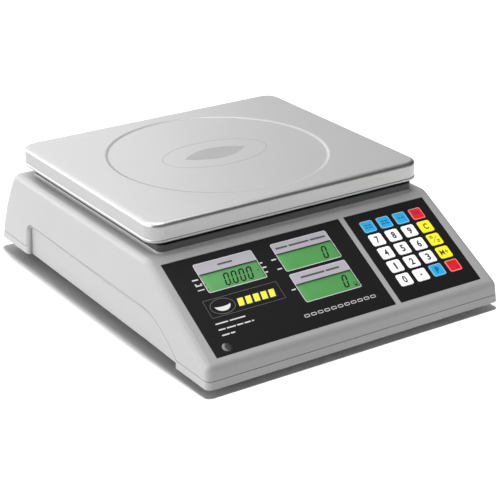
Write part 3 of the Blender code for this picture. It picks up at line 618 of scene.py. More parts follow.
def parting_outline(shift):
    """(y, z) outline of everything below the parting line, which shift moves up or down."""
    foot, far = 0.003, 0.25
    points = [(-far, -0.02), (far, -0.02), (far, PARTING_REAR_Z + shift)]
    for c, s in quarter(6):
        points.append((GRIP_REAR_Y + foot * (1 - s) + shift, PARTING_REAR_Z + foot * (1 - c) + shift))
    for c, _ in quarter(12):
        y = GRIP_REAR_Y - GRIP_CORNER * (1 - c)
        points.append((y + shift * c, grip_top(y) + shift))
    steps = 32
    for i in range(steps + 1):
        y = GRIP_TOP_FRONT_Y + (GRIP_FRONT_Y - GRIP_TOP_FRONT_Y) * i / steps
        points.append((y, grip_top(y) + shift))
    return points + [(-far, PARTING_FRONT_Z + shift)]


def grip_depth(y):
    """How far the hand grip lies in at y: deeper towards its rear end, which is a round step."""
    start = GRIP_REAR_Y - GRIP_ROLL
    if y <= start:
        return 0.0001 + GRIP_SINK * max(0.0, y - GRIP_FRONT_Y) / (start - GRIP_FRONT_Y)
    share = min(1.0, (y - start) / GRIP_ROLL)
    return 0.0001 + GRIP_SINK * (1 - sqrt(max(0.0, 1 - (1 - share) ** 2)))


def grip_inset(y, drop):
    """How far in the grip's face is at y, for a height given as the drop from the grip's upper edge."""
    if drop is None:
        share, below = 1.0, grip_top(y) + 0.01
    else:
        t = min(1.0, max(0.0, drop / GRIP_EDGE))
        share, below = 0.04 + 0.96 * t * t * (3 - 2 * t), drop
    depth = grip_depth(min(max(y, GRIP_FRONT_Y), GRIP_REAR_Y)) * share
    leans = below > 0 and GRIP_FRONT_Y < y < GRIP_REAR_Y - GRIP_ROLL
    return depth + (GRIP_LEAN * below if leans else 0.0)


def grip_block(deeper=0.0):
    """The two sunk hand grips as blocks outside the housing's sides; deeper moves their inner face in."""
    straight = GRIP_REAR_Y - GRIP_ROLL - GRIP_FRONT_Y
    ys = [GRIP_FRONT_Y - deeper] + [GRIP_FRONT_Y + straight * i / 46 for i in range(47)]
    ys += [GRIP_REAR_Y - GRIP_ROLL * c for c, _ in quarter(8, 1)] + [GRIP_REAR_Y + deeper]
    drops = [None, 0.0095, 0.006] + [GRIP_EDGE * (1 - i / 6) for i in range(7)] + [-0.003]
    bm = bmesh.new()
    for sign in (-1, 1):
        rings = []
        for y in ys:
            heights = [-0.01 if drop is None else grip_top(y) - drop for drop in drops]
            inner = [(sign * (side_x(z) - grip_inset(y, drop) - deeper), y, z)
                     for z, drop in zip(heights, drops)]
            rings.append(inner + [(sign * 0.2, y, z) for z in reversed(heights)])
        loops = join_rings(bm, rings)
        for loop in (loops[0], loops[-1]):
            for k in range(len(drops) - 1):
                bm.faces.new((loop[k], loop[k + 1], loop[-2 - k], loop[-1 - k]))
    return bm


def raised_edge_block(top, inner_x, margin=0.0):
    """Two low blocks under the housing's sides, where its bottom edge is higher behind the front corners."""
    bm = bmesh.new()
    for sign in (-1, 1):
        low, high = sorted((sign * inner_x, sign * 0.2))
        add_box(bm, (low, GRIP_FRONT_Y - margin, -0.01), (high, 0.25, top))
    return bm


def middle(name):
    low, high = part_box(name)
    return (low + high) / 2


def numbered(stem, count=4):
    return [f"{stem}_{i + 1}" for i in range(count)]


def middles(stem, count=4):
    return [middle(name) for name in numbered(stem, count)]


def lower_shell(look):
    below = add_prism_x(bmesh.new(), parting_outline(-PARTING_GAP / 2), -0.2, 0.2)
    bm = boolean(housing_block(), "INTERSECT", below)
    bm = subtract(bm, raised_edge_block(BASE_Z + SIDE_LIFT, GRIP_INNER_X))
    bm = subtract(bm, grip_block())
    bm = soften(bm, 0.0005, 40)
    hollow = subtract(inner_block(BASE_Z + WALL), grip_block(WALL))
    hollow = subtract(hollow, raised_edge_block(BASE_Z + SIDE_LIFT + WALL, GRIP_INNER_X - WALL, WALL))
    bm = subtract(bm, hollow)

    posts = bmesh.new()
    foot = BASE_Z + 0.001
    for at in middles("case_screw"):
        add_cylinder(posts, at.x, at.y, foot + SIDE_LIFT, 0.0297, 0.0065, 32)
    for at in middles("levelling_foot"):
        add_cylinder(posts, at.x, at.y, foot, 0.019, 0.008, 32)
    board_low, board_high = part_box("main_board")
    for x in (board_low.x + 0.006, board_high.x - 0.006):
        for y in (board_low.y + 0.006, board_high.y - 0.006):
            add_cylinder(posts, x, y, foot, board_low.z - 0.0003, 0.003, 20)
    cell_low, cell_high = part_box("battery")
    rim, fit = Vector((0.005, 0.005, 0)), Vector((0.0006, 0.0006, 0))
    add_box(posts, (*(cell_low - rim).xy, foot), (*(cell_high + rim).xy, BASE_Z + 0.005))
    bm = unite(bm, posts)

    holes = bmesh.new()
    for at in middles("case_screw"):
        profile = [(0.0048, -0.01), (0.0048, BASE_Z), (0.0042, BASE_Z + 0.0006), (0.0042, 0.018),
                   (0.0023, 0.018), (0.0023, 0.05)]
        add_lathe(holes, profile, 32, (at.x, at.y, 0))
    for at in middles("levelling_foot"):
        add_cylinder(holes, at.x, at.y, -0.01, 0.03, 0.0045, 32)
    for at in middles("lower_cell_screw", 2):
        add_cylinder(holes, at.x, at.y, -0.01, BASE_Z + 0.004, 0.0052, 32)
    add_box(holes, (*(cell_low - fit).xy, BASE_Z + 0.002), (*(cell_high + fit).xy, 0.03))
    bm = subtract(bm, holes)
    cover_low, cover_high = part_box("battery_cover")
    size = cover_high - cover_low + fit
    rebate = add_rounded(bmesh.new(), middle("battery_cover").xy, size.xy, 0.001,
                         [(0, -0.01), (0, cover_high.z + 0.0003)], 4)
    bm = subtract(bm, rebate)
    return piece("lower_shell", bm, look, "housing", ["lower_housing"])


def well_ring(out_x, out_y, z):
    """Ring round the well, at a distance out from its wall."""
    y0, y1 = WELL_Y
    outline = rounded_outline(WELL_X + out_x, (y1 - y0) / 2 + out_y, WELL_CORNER + max(out_y, 0), 8)
    return [(x, y + (y0 + y1) / 2, z) for x, y in outline]


def well_cutter(margin=0.0, low=WELL_FLOOR_Z):
    return skin_rings(bmesh.new(), [well_ring(margin, margin, z) for z in (low, DECK_Z + 0.02)])


def collar_block():
    """The wall round the well, with a hollow foot and a round top; it is solid until the well is cut."""
    reach_x, reach_y, reach_z = COLLAR_FLARE
    rings = [well_ring(COLLAR + reach_x, COLLAR + reach_y, WELL_FLOOR_Z)]
    for c, s in quarter(7):
        rings.append(well_ring(COLLAR + reach_x * (1 - s), COLLAR + reach_y * (1 - s),
                               DECK_Z - 0.0001 + reach_z * (1 - c)))
    for c, s in quarter(5):
        out = COLLAR - COLLAR_ROUND * (1 - c)
        rings.append(well_ring(out, out, COLLAR_TOP - COLLAR_ROUND * (1 - s)))
    return skin_rings(bmesh.new(), rings)


def shade_edge_strip(look):
    """Black edge strip pushed over the collar's upper edge, as a channel open at the bottom; a guessed part,
    made near black to paint the shade in the gap under the pan's front edge.
    """
    thick, clear, reach = 0.0006, 0.0001, 0.0058
    low, inside, top = COLLAR_TOP - reach, COLLAR_TOP + clear, COLLAR_TOP + clear + thick
    near, far = -clear, COLLAR + clear
    section = [(far, low), (far + thick, low), (far + thick, inside), (far, top), (near, top),
               (near - thick, inside), (near - thick, low), (near, low), (near, inside), (far, inside)]
    bm = bmesh.new()
    y0, y1 = WELL_Y
    rings = []
    for out, z in section:
        outline = rounded_outline(WELL_X + out, (y1 - y0) / 2 + out, WELL_CORNER + out, 8)
        rings.append([(x, y + (y0 + y1) / 2, z) for x, y in outline])
    join_rings(bm, rings, around=True)
    return piece("shade_edge_strip", bm, look, "housing")


def recess_cutters():
    """Recesses that the two overlays lie in, with a small bevel round the top."""
    bm = bmesh.new()
    levels = [(0, -OVERLAY_SINK), (0, -0.0004), (-0.0002, -0.00012), (-0.0006, 0.0001), (-0.0006, 0.003)]
    for x0, x1 in (DISPLAY_X, KEYPAD_X):
        size = (x1 - x0 + 0.0006, OVERLAY_LENGTH + 0.0006)
        add_rounded(bm, ((x0 + x1) / 2, OVERLAY_LENGTH / 2), size, 0.0006, levels, 4)
    return bm


def window_cutters():
    """What passes through the panel under the overlays: displays, keys, lens."""
    bm = bmesh.new()
    low, high = -0.006, 0.001
    for name in LABEL_WORDS:
        x, s = on_panel(name)
        half_x, half_s = GLASS[0] / 2 + GLASS_GAP, GLASS[1] / 2 + GLASS_GAP
        add_box(bm, (x - half_x, s - half_s, low), (x + half_x, s + half_s, high))
    margin_x, margin_s = KEY_SIZE[0] / 2 + 0.0015, KEY_SIZE[1] / 2 + 0.0015
    xs, ss = zip(*(on_panel(name) for name in KEY_LEGENDS))
    add_box(bm, (min(xs) - margin_x, min(ss) - margin_s, low), (max(xs) + margin_x, max(ss) + margin_s, high))
    return add_cylinder(bm, *LENS_AT, low, high, LENS_RADIUS + 0.0003, 32)


def bay_block(margin=0.0):
    """The rear bay, which holds the switch and the power inlet."""
    return add_box(bmesh.new(), (BAY_X[0] - margin, BAY_Y - margin, BAY_Z[0] - margin),
                   (BAY_X[1] + margin, 0.25, BAY_Z[1] + margin))


def rear_matrix(x, y):
    """Frame on the bay's wall at socket height: Z points to the rear."""
    return Matrix.Translation((x, y, SOCKET_Z)) @ Matrix.Rotation(-pi / 2, 4, "X")


def upper_shell(look):
    bm = subtract(housing_block(), add_prism_x(bmesh.new(), parting_outline(PARTING_GAP / 2), -0.2, 0.2))
    bm = subtract(bm, bay_block())
    bm = soften(bm, 0.0005, 40)
    bm = subtract(unite(bm, collar_block()), well_cutter())
    hollow = subtract(inner_block(BASE_Z - 0.01), well_cutter(WALL, WELL_FLOOR_Z - WALL))
    hollow = subtract(hollow, bay_block(WALL))
    bm = subtract(bm, hollow)
    bm = subtract(bm, recess_cutters(), panel_matrix())
    bm = subtract(bm, window_cutters(), panel_matrix())
    free_y = middle("upper_spacer").y
    holes = bmesh.new()
    add_box(holes, (-0.020, free_y - 0.0185, WELL_FLOOR_Z - 0.01),
            (0.020, free_y + 0.0185, WELL_FLOOR_Z + 0.001))
    add_box(holes, (SWITCH_X - 0.0068, BAY_Y - 0.01, SOCKET_Z - 0.0103),
            (SWITCH_X + 0.0068, BAY_Y + 0.001, SOCKET_Z + 0.0103))
    bm = subtract(bm, holes)
    bm = subtract(bm, add_cylinder(bmesh.new(), 0, 0, -0.01, 0.001, 0.0049, 32), rear_matrix(JACK_X, BAY_Y))
    bosses = bmesh.new()
    pilots = bmesh.new()
    for at in middles("case_screw"):
        add_cylinder(bosses, at.x, at.y, 0.0303, 0.0845 if at.y > 0 else 0.073, 0.0045, 28)
        add_cylinder(pilots, at.x, at.y, 0.02, 0.046, 0.0022, 20)
    bm = subtract(unite(bm, bosses), pilots)
    return piece("upper_shell", bm, look, "housing", ["upper_housing"])


# ---------------------------------------------------------------- pan

def pan_tray(look):
    """One drawn sheet: flat top with a round middle pressed in, a skirt and a rolled hem."""
    skirt, fillet, foot = 0.0006, PAN_FILLET, PAN_RIM_Z

    def ring(inset, z):
        half_x, half_y = PAN_SIZE[0] / 2 - inset, PAN_SIZE[1] / 2 - inset
        outline = rounded_outline(half_x, half_y, PAN_CORNER - inset * 0.8, 12, 12)
        return [(x, y, z) for x, y in outline]

    def disc(radius, z):
        """Ring of the same number of points on a circle, in the directions of the outline's points."""
        return [(radius * x / hypot(x, y), radius * y / hypot(x, y), z) for x, y, _ in ring(0, 0)]

    outside = [ring(inset, foot + rise) for inset, rise in
               ((0.0005, 0), (0.0001, 0.0004), (0, 0.0011), (0, 0.0020), (0.0002, 0.0026), (skirt, 0.0029),
                (skirt, 0.0034))]
    outside += [ring(skirt + fillet * (1 - c), PAN_TOP - fillet * (1 - s)) for c, s in quarter(9)]
    outside.append(ring(skirt + fillet + 0.004, PAN_TOP))
    steps = 10
    flank = [(DISC_RADIUS + DISC_FLANK * (0.5 - i / steps),
              PAN_TOP - DISC_DEPTH * (0.5 - 0.5 * cos(pi * i / steps))) for i in range(steps + 1)]
    floor_z = PAN_TOP - DISC_DEPTH
    shares = (0.96, 0.7, 0.4, 0.1)
    top = [disc(DISC_RADIUS + DISC_FLANK, PAN_TOP)] + [disc(radius, z) for radius, z in flank]
    top += [disc(DISC_RADIUS * share, floor_z) for share in shares]
    under = [disc(DISC_RADIUS * share, floor_z - PAN_SHEET) for share in reversed(shares)]
    under += [disc(radius, z - PAN_SHEET) for radius, z in reversed(flank)]
    inside = [ring(skirt + fillet + 0.004, PAN_TOP - PAN_SHEET)]
    inner = fillet - PAN_SHEET
    inside += [ring(skirt + PAN_SHEET + inner * (1 - s), PAN_TOP - fillet + inner * c) for c, s in quarter(6)]
    inside += [ring(inset, foot + rise) for inset, rise in
               ((skirt + PAN_SHEET, 0.0036), (0.0026, 0.0031), (0.0028, 0.0024), (0.0028, 0.0008),
                (0.0024, 0.0001), (0.0016, 0))]
    bm = skin_rings(bmesh.new(), under + inside + outside + top)
    return piece("pan_tray", bm, look, "pan", ["pan"], Matrix.Translation((0, PAN_Y, 0)), 50)


def ellipse(half_x, half_y, sides=72, centre=(0.0, 0.0)):
    turns = [2 * pi * i / sides for i in range(sides)]
    return [(centre[0] + half_x * cos(a), centre[1] + half_y * sin(a)) for a in turns]


def pan_mark(look):
    """Etched centre mark: an oval line round a plain lens shape."""
    low, high = -0.00002, INK
    bm = add_collar(bmesh.new(), ellipse(0.0554, 0.0328), ellipse(0.0546, 0.0320), low, high)
    ts = [-1 + 2 * i / 24 for i in range(24)]
    lens = [(sign * t * 0.034, sign * 0.014 * (1 - t * t)) for sign in (1, -1) for t in ts]
    add_plate(bm, lens[::-1], low, high)
    place = Matrix.Translation((-0.0016, PAN_Y + 0.0016, PAN_TOP - DISC_DEPTH))
    return piece("pan_mark", bm, look, "pan", place=place)


# ---------------------------------------------------------------- panel prints

def panel_print(name, bm, look):
    piece(name, bm, look, "housing", place=panel_matrix())


def bar(bm, x0, x1, s, height, low=PRINT[0], high=PRINT[1], lean=0.0):
    """A printed bar centred on s; lean slants its ends."""
    half = height / 2
    shift = lean * half
    return add_plate(bm, [(x0 - shift, s - half), (x1 - shift, s - half), (x1 + shift, s + half),
                          (x0 + shift, s + half)], low, high)


def words(bm, x0, s, widths, height, gap=0.0012, **levels):
    """A row of bars that stands for a line of small print."""
    for width in widths:
        bar(bm, x0, x0 + width, s, height, **levels)
        x0 += width + gap
    return bm


def framed(x, s, size, radius, steps=6):
    return [(x + px, s + ps) for px, ps in rounded_outline(size[0] / 2, size[1] / 2, radius, steps)]


LABEL_TOP = 0.0110      # height of the silver label above each display
LABEL_WORDS = {"weight_display": [0.0150], "unit_weight_display": [0.0125, 0.0215, 0.0165],
               "count_display": [0.0255, 0.0145]}


def window_frames(border, label, dark):
    """A light line round each display and its label, the silver label and the label's small print."""
    low, high = PRINT
    edge, gap = 0.0006, 0.0016
    for name, widths in LABEL_WORDS.items():
        x, s = on_panel(name)
        foot, top = s - VIEW_AREA[1] / 2, s + VIEW_AREA[1] / 2 + LABEL_TOP
        centre, size = (foot + top) / 2, (VIEW_AREA[0], top - foot)
        inner = framed(x, centre, size, 0.0013)
        outer = framed(x, centre, (size[0] + 2 * edge, size[1] + 2 * edge), 0.0019)
        panel_print(f"{name}_border", add_collar(bmesh.new(), outer, inner, low, high), border)
        cut = s + VIEW_AREA[1] / 2 + 0.0002
        strip = [p for p in inner if p[1] > cut] + [(x - size[0] / 2, cut), (x + size[0] / 2, cut)]
        panel_print(f"{name}_label", add_plate(bmesh.new(), strip, low, high), label)
        start = x - (sum(widths) + gap * (len(widths) - 1)) / 2
        bm = words(bmesh.new(), start, top - LABEL_TOP / 2 + 0.0002, widths, 0.0019, gap, low=high - 0.00001,
                   high=high + INK / 2)
        panel_print(f"{name}_label_marks", bm, dark)


def legend_marks(white):
    """Small marks beside the displays: what each of the display's arrows points at."""
    bm = bmesh.new()
    for x0, x1, s, height in ((-0.1246, -0.1187, 0.0779, 0.0013), (-0.1246, -0.1180, 0.0669, 0.0009),
                              (-0.0553, -0.0527, 0.0776, 0.0013), (-0.0552, -0.0514, 0.0724, 0.0014),
                              (-0.0553, -0.0528, 0.0671, 0.0013), (-0.0432, -0.0383, 0.0773, 0.0013),
                              (-0.0430, -0.0382, 0.0666, 0.0012), (-0.0423, -0.0379, 0.0426, 0.0012),
                              (-0.1243, -0.1178, 0.0716, 0.0012), (-0.1243, -0.1229, 0.0728, 0.0022),
                              (-0.1192, -0.1178, 0.0724, 0.0022)):
        bar(bm, x0, x1, s, height)
    panel_print("legend_marks", bm, white)


def badge(white, grey, yellow, blue):
    """Plain badge: a thin box with an oval, a lens shape and a row of slanted stripes."""
    low, high = PRINT
    x, s, size, line = -0.0891, 0.0463, (0.0752, 0.0187), 0.00028
    bm = add_collar(bmesh.new(), framed(x, s, size, 0.0004, 2),
                    framed(x, s, (size[0] - 2 * line, size[1] - 2 * line), 0.0003, 2), low, high)
    oval_x = -0.1113
    outer, inner = (ellipse(x, y, centre=(oval_x, s)) for x, y in ((0.0122, 0.0080), (0.0118, 0.0076)))
    add_collar(bm, outer, inner, low, high)
    panel_print("badge_line", bm, grey)
    lower = [(pi + pi * i / 18, 0.0062) for i in range(19)]
    upper = [(-pi * i / 18, 0.0016) for i in range(1, 18)]
    crescent = [(oval_x + 0.0078 * cos(a), s + 0.0012 + tall * sin(a)) for a, tall in lower + upper]
    panel_print("badge_crescent", add_plate(bmesh.new(), crescent, low, high), white)
    for name, look, shift, lift in (("badge_shadow", blue, 0.0007, 0.0),
                                    ("badge_stripes", yellow, 0.0, INK / 2)):
        bm = bmesh.new()
        for i in range(5):
            x0 = -0.0962 + 0.0080 * i + shift
            bar(bm, x0, x0 + 0.0056, 0.0455 - shift, 0.0078, low + lift, high + lift, lean=0.22)
        panel_print(name, bm, look)


def small_print(white):
    """Three short lines of bars under the badge, and a row of dashes at the foot of the overlay."""
    bm = bmesh.new()
    words(bm, -0.1272, 0.0308, [0.0125, 0.0155], 0.0012, 0.0018)
    words(bm, -0.1275, 0.0246, [0.0068, 0.0088, 0.0060, 0.0062, 0.0020], 0.0012, 0.0014)
    words(bm, -0.1273, 0.0188, [0.0076, 0.0042], 0.0012, 0.0012)
    panel_print("small_print", bm, white)
    bm = bmesh.new()
    size, line = (0.0052, 0.0030), 0.00055
    for i in range(11):
        x = -0.0432 + 0.00712 * i
        inner = framed(x, 0.0141, (size[0] - 2 * line, size[1] - 2 * line), 0.0004, 4)
        add_collar(bm, framed(x, 0.0141, size, 0.0009, 4), inner, *PRINT)
    panel_print("dash_row", bm, white)


def films(look):
    """The two printed overlays, with their windows and key openings."""
    through = [(0, -0.003), (0, 0.003)]
    for name, span in (("display_overlay", DISPLAY_X), ("keypad_overlay", KEYPAD_X)):
        centre = ((span[0] + span[1]) / 2, OVERLAY_LENGTH / 2)
        bm = add_rounded(bmesh.new(), centre, (span[1] - span[0], OVERLAY_LENGTH), 0.0005,
                         [(0, FILM_LOW), (0, FILM_TOP - 0.00006), (0.00006, FILM_TOP)], 4)
        holes = bmesh.new()
        if name == "display_overlay":
            for display in LABEL_WORDS:
                add_rounded(holes, on_panel(display), VIEW_AREA, 0.0011, through, 6)
            add_cylinder(holes, *LENS_AT, -0.003, 0.003, LENS_RADIUS + 0.0003, 48)
        else:
            size = (KEY_SIZE[0] + 0.0006, KEY_SIZE[1] + 0.0006)
            for key in KEY_LEGENDS:
                add_rounded(holes, on_panel(key), size, KEY_RADIUS + 0.0003, through, 6)
        bm = subtract(bm, holes)
        piece(name.replace("overlay", "film"), bm, look, "housing", [name], panel_matrix())


# ---------------------------------------------------------------- displays

DIGIT_HEIGHT = 0.0134
DIGIT_WIDTH = 0.0056
DIGIT_LEAN = 0.235
SEGMENT = 0.001485
DIGIT_STARTS = {"weight_display": [(-0.0096 + 0.0078 * i, -0.0064) for i in range(4)],
                "unit_weight_display": [(0.0143, -0.0062)], "count_display": [(0.0152, -0.0058)]}


def segment(start, end):
    """Outline of one bar of a digit, with pointed ends."""
    (x0, y0), (x1, y1) = start, end
    length = hypot(x1 - x0, y1 - y0)
    ux, uy = (x1 - x0) / length, (y1 - y0) / length
    half, gap = SEGMENT / 2, 0.00008
    outline = []
    for along, side in ((gap, 0), (gap + half, -half), (length - gap - half, -half), (length - gap, 0),
                        (length - gap - half, half), (gap + half, half)):
        x, y = x0 + ux * along - uy * side, y0 + uy * along + ux * side
        outline.append((x + DIGIT_LEAN * y, y))
    return outline


def zero_digit(bm, at, low, high):
    w, h = DIGIT_WIDTH - SEGMENT, DIGIT_HEIGHT - SEGMENT
    for start, end in (((0, h), (w, h)), ((w, h / 2), (w, h)), ((w, 0), (w, h / 2)), ((0, 0), (w, 0)),
                       ((0, 0), (0, h / 2)), ((0, h / 2), (0, h))):
        add_plate(bm, [(at[0] + x, at[1] + y) for x, y in segment(start, end)], low, high)


def arrow(bm, x, s, sign, low, high):
    """A small triangle that points left or right, out of the display."""
    half = 0.0008
    outline = [(x - sign * half, s - half), (x + sign * half, s), (x - sign * half, s + half)]
    add_plate(bm, outline[::sign], low, high)


def displays(glass, dark):
    """Each display's glass and the segments that are lit in it."""
    low, high = GLASS_TOP - 0.00002, GLASS_TOP + 0.00005
    for name, starts in DIGIT_STARTS.items():
        place = panel_matrix(*on_panel(name))
        levels = edge_levels(GLASS_TOP - GLASS[2], GLASS_TOP, 0.0003, 3)
        bm = add_rounded(bmesh.new(), (0, 0), GLASS[:2], 0.0006, levels, 4)
        piece(f"{name}_glass", bm, glass, "housing", [name], place)
        bm = bmesh.new()
        for at in starts:
            zero_digit(bm, at, low, high)
        if name == "weight_display":
            dot = (starts[0][0] + DIGIT_WIDTH + 0.00035, starts[0][1] - 0.0001)
            add_plate(bm, ellipse(0.0006, 0.0006, 16, dot), low, high)
            for x, s, sign in ((-0.0284, -0.0004, -1), (-0.0284, -0.0054, -1), (0.0264, 0.0002, 1)):
                arrow(bm, x, s, sign, low, high)
        if name == "count_display":
            add_collar(bm, framed(0.0266, -0.0052, (0.0030, 0.0042), 0.0003, 2),
                       framed(0.0266, -0.0052, (0.0022, 0.0034), 0.0002, 2), low, high)
            add_plate(bm, framed(0.0266, -0.0062, (0.0018, 0.0012), 0.0001, 2), low, high)
        piece(f"{name}_segments", bm, dark, "housing", place=place)


def status_window(look):
    profile = [(LENS_RADIUS, -0.0026), (LENS_RADIUS, -0.0004), (LENS_RADIUS - 0.0002, -0.0001),
               (LENS_RADIUS - 0.0006, 0.0), (0.0036, 0.00012), (0.002, 0.00018)]
    piece("status_window", add_lathe(bmesh.new(), profile, 56), look, "housing", ["status_lens"],
          panel_matrix(*LENS_AT), 60)


# ---------------------------------------------------------------- keys

# What is printed on each key: a text, or "line", "lines", "mark", "slash" or "dot"
KEY_LEGENDS = {"key_units": "lines", "key_unit_weight": "lines", "key_sample": "line", "key_tare": "mark",
               "key_7": "7", "key_8": "8", "key_9": "9", "key_clear": "C",
               "key_4": "4", "key_5": "5", "key_6": "6", "key_sum": "slash",
               "key_1": "1", "key_2": "2", "key_3": "3", "key_add": "M+",
               "key_0": "0", "key_point": "dot", "key_preset": "P", "key_zero": "slash"}
KEY_COLOURS = {"key_units": "blue", "key_unit_weight": "blue", "key_sample": "blue", "key_tare": "red",
               "key_clear": "yellow", "key_sum": "yellow", "key_add": "yellow", "key_preset": "blue",
               "key_zero": "red"}


def text_plate(body, width, height, low, high, weight):
    """A thin solid of a text, fitted to a width and a height and centred on the origin."""
    curve = bpy.data.curves.new("legend", "FONT")
    curve.body = body
    curve.extrude = 0.5
    curve.offset = weight
    curve.resolution_u = 6
    thing = bpy.data.objects.new("legend", curve)
    bpy.context.scene.collection.objects.link(thing)
    mesh = bpy.data.meshes.new_from_object(thing.evaluated_get(bpy.context.evaluated_depsgraph_get()))
    bm = bmesh.new()
    bm.from_mesh(mesh)
    bpy.data.objects.remove(thing, do_unlink=True)
    bpy.data.meshes.remove(mesh)
    bpy.data.curves.remove(curve)
    bmesh.ops.remove_doubles(bm, verts=bm.verts, dist=0.0005)
    xs, ys = [v.co.x for v in bm.verts], [v.co.y for v in bm.verts]
    scale_x, scale_y = width / (max(xs) - min(xs)), height / (max(ys) - min(ys))
    for v in bm.verts:
        v.co = ((v.co.x - (min(xs) + max(xs)) / 2) * scale_x, (v.co.y - (min(ys) + max(ys)) / 2) * scale_y,
                low if v.co.z < 0 else high)
    return bm


def key_legend(kind, low, high):
    if kind == "dot":
        return add_plate(bmesh.new(), ellipse(0.0011, 0.0011, 24), low, high)
    bm = bmesh.new()
    rows = {"line": (0.0,), "lines": (0.0014, -0.0014), "mark": (0.0016, -0.0002)}
    if kind in rows:
        for i, s in enumerate(rows[kind]):
            half = 0.0030 if kind == "mark" else 0.0036 + 0.0006 * i
            for side in (-1, 1):
                add_plate(bm, framed(side * half * 0.55, s, (half * 0.9, 0.0011), 0.0002, 2), low, high)
        return bm
    if kind == "slash":
        add_plate(bm, [(-0.0034, -0.0034), (-0.0028, -0.0034), (0.0034, 0.0034), (0.0028, 0.0034)], low, high)
        for x, s in ((-0.0026, 0.0020), (0.0028, -0.0016), (0.0026, -0.0034), (-0.0030, 0.0036)):
            add_plate(bm, framed(x, s, (0.0034, 0.0009), 0.0002, 2), low, high)
        return bm
    bm.free()
    width = {"1": 0.0020, "M+": 0.0092, "C": 0.0048, "P": 0.0040}.get(kind, 0.0042)
    height = {"M+": 0.0060, "C": 0.0066, "P": 0.0066}.get(kind, 0.0076)
    return text_plate(kind, width, height, low, high, 0.006 if kind in ("M+", "1") else 0.034)


def keys(looks):
    """Each key's cap, its legend, and a thin outline on the blue and red ones."""
    low, high = KEY_TOP - 0.00002, KEY_TOP + INK
    edge = 0.0004
    levels = [(0, -0.0023)] + [(edge * (1 - c), KEY_TOP - edge * (1 - s)) for c, s in quarter(5)]
    for name, kind in KEY_LEGENDS.items():
        colour = KEY_COLOURS.get(name, "white")
        slot = f"key_{colour}"
        place = panel_matrix(*on_panel(name))
        stem = name.replace("key_", "")
        bm = add_rounded(bmesh.new(), (0, 0), KEY_SIZE, KEY_RADIUS, levels, 7)
        piece(f"cap_{stem}", bm, looks[slot], name, [name], place, 60)
        legend = key_legend(kind, low, high)
        piece(f"legend_{stem}", legend, looks[f"key_ink_{colour}"], name, place=place)
        if colour in ("blue", "red"):
            outer, inner = (framed(0, 0, (KEY_SIZE[0] - less, KEY_SIZE[1] - less), KEY_RADIUS - corner)
                            for less, corner in ((0.0009, 0.0004), (0.0017, 0.0008)))
            bm = add_collar(bmesh.new(), outer, inner, low, high)
            piece(f"outline_{stem}", bm, looks["key_outline"], name, place=place)


# ---------------------------------------------------------------- feet, screws, rear bay, under the pan

def feet(rubber, metal):
    """Levelling feet: a fluted pad that a hand can turn and a threaded stud."""
    flutes, per = 18, 8
    turns = [2 * pi * k / (flutes * per) for k in range(flutes * per)]
    for i, name in enumerate(numbered("levelling_foot")):
        at = middle(name)
        low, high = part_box(name)
        radius = (high.x - low.x) / 2
        place = Matrix.Translation((at.x, at.y, 0))
        rings = []
        for inset, z in ((0.0022, 0.0), (0.0012, 0.0001), (0.0008, 0.0005), (0.0002, 0.0010), (0.0, 0.0016),
                         (0.0, 0.0040), (0.0002, 0.0046), (0.0010, 0.0055), (0.0022, 0.0061),
                         (radius - 0.0062, 0.0064)):
            flute = 0.0007 if 0.0008 < z < 0.0056 else 0.0
            radii = [radius - inset - flute * max(0.0, cos(flutes * a)) ** 2 for a in turns]
            rings.append([(r * cos(a), r * sin(a), z) for r, a in zip(radii, turns)])
        body = f"foot_{i + 1}"
        piece(f"foot_pad_{i + 1}", skin_rings(bmesh.new(), rings), rubber, body, [name], place, 40)
        stud = thread(0.0040, 0.0033, 0.0062, high.z, 0.00125)
        piece(f"foot_stud_{i + 1}", stud, metal, body, place=place, sharp=40)


def thread(outer, root, low, high, pitch):
    """A stud whose radius rises and falls in rings a pitch apart."""
    profile = [(root, low)]
    z = low + pitch / 2
    while z < high - pitch:
        profile += [(outer, z), (root, z + pitch / 2)]
        z += pitch
    profile += [(root, high - 0.0006), (root - 0.0006, high)]
    return add_lathe(bmesh.new(), profile, 28)


def case_screws(metal):
    """Screws with a cross recess in a round head, and a tip."""
    for name in numbered("case_screw"):
        at = middle(name)
        low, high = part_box(name)
        profile = [(0.0026, low.z), (0.0034, low.z + 0.0004), (0.0036, low.z + 0.0012),
                   (0.0036, low.z + 0.0032), (0.0014, low.z + 0.0032)]
        z = low.z + 0.0038
        while z < high.z - 0.003:
            profile += [(0.0013, z), (0.0019, z + 0.0006)]
            z += 0.0012
        bm = add_lathe(bmesh.new(), profile + [(0.0012, high.z - 0.0024), (0.0002, high.z)], 24)
        slots = [add_box(bmesh.new(), (-half_x, -half_y, low.z - 0.001), (half_x, half_y, low.z + 0.0014))
                 for half_x, half_y in ((0.0019, 0.00035), (0.00035, 0.0019))]
        bm = subtract(bm, unite(*slots))
        place = Matrix.Translation((at.x, at.y, 0))
        piece(f"{name}_cross_head", bm, metal, "housing", [name], place)


def battery_door(look):
    """Cover of the battery box: rounded plate with grip ribs."""
    low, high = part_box("battery_cover")
    centre, size = middle("battery_cover"), high - low
    bm = add_rounded(bmesh.new(), centre, size, 0.0008, edge_levels(low.z, high.z, 0.0003, 2), 4)
    ribs = bmesh.new()
    for i in range(5):
        length = 0.024 - 0.0044 * i
        add_rounded(ribs, (centre.x, low.y + 0.012 + 0.0042 * i), (length, 0.0018), 0.0008,
                    [(0, low.z - 0.001), (0, low.z + 0.0007)], 4)
    piece("battery_door", subtract(bm, ribs), look, "battery_cover", ["battery_cover"])


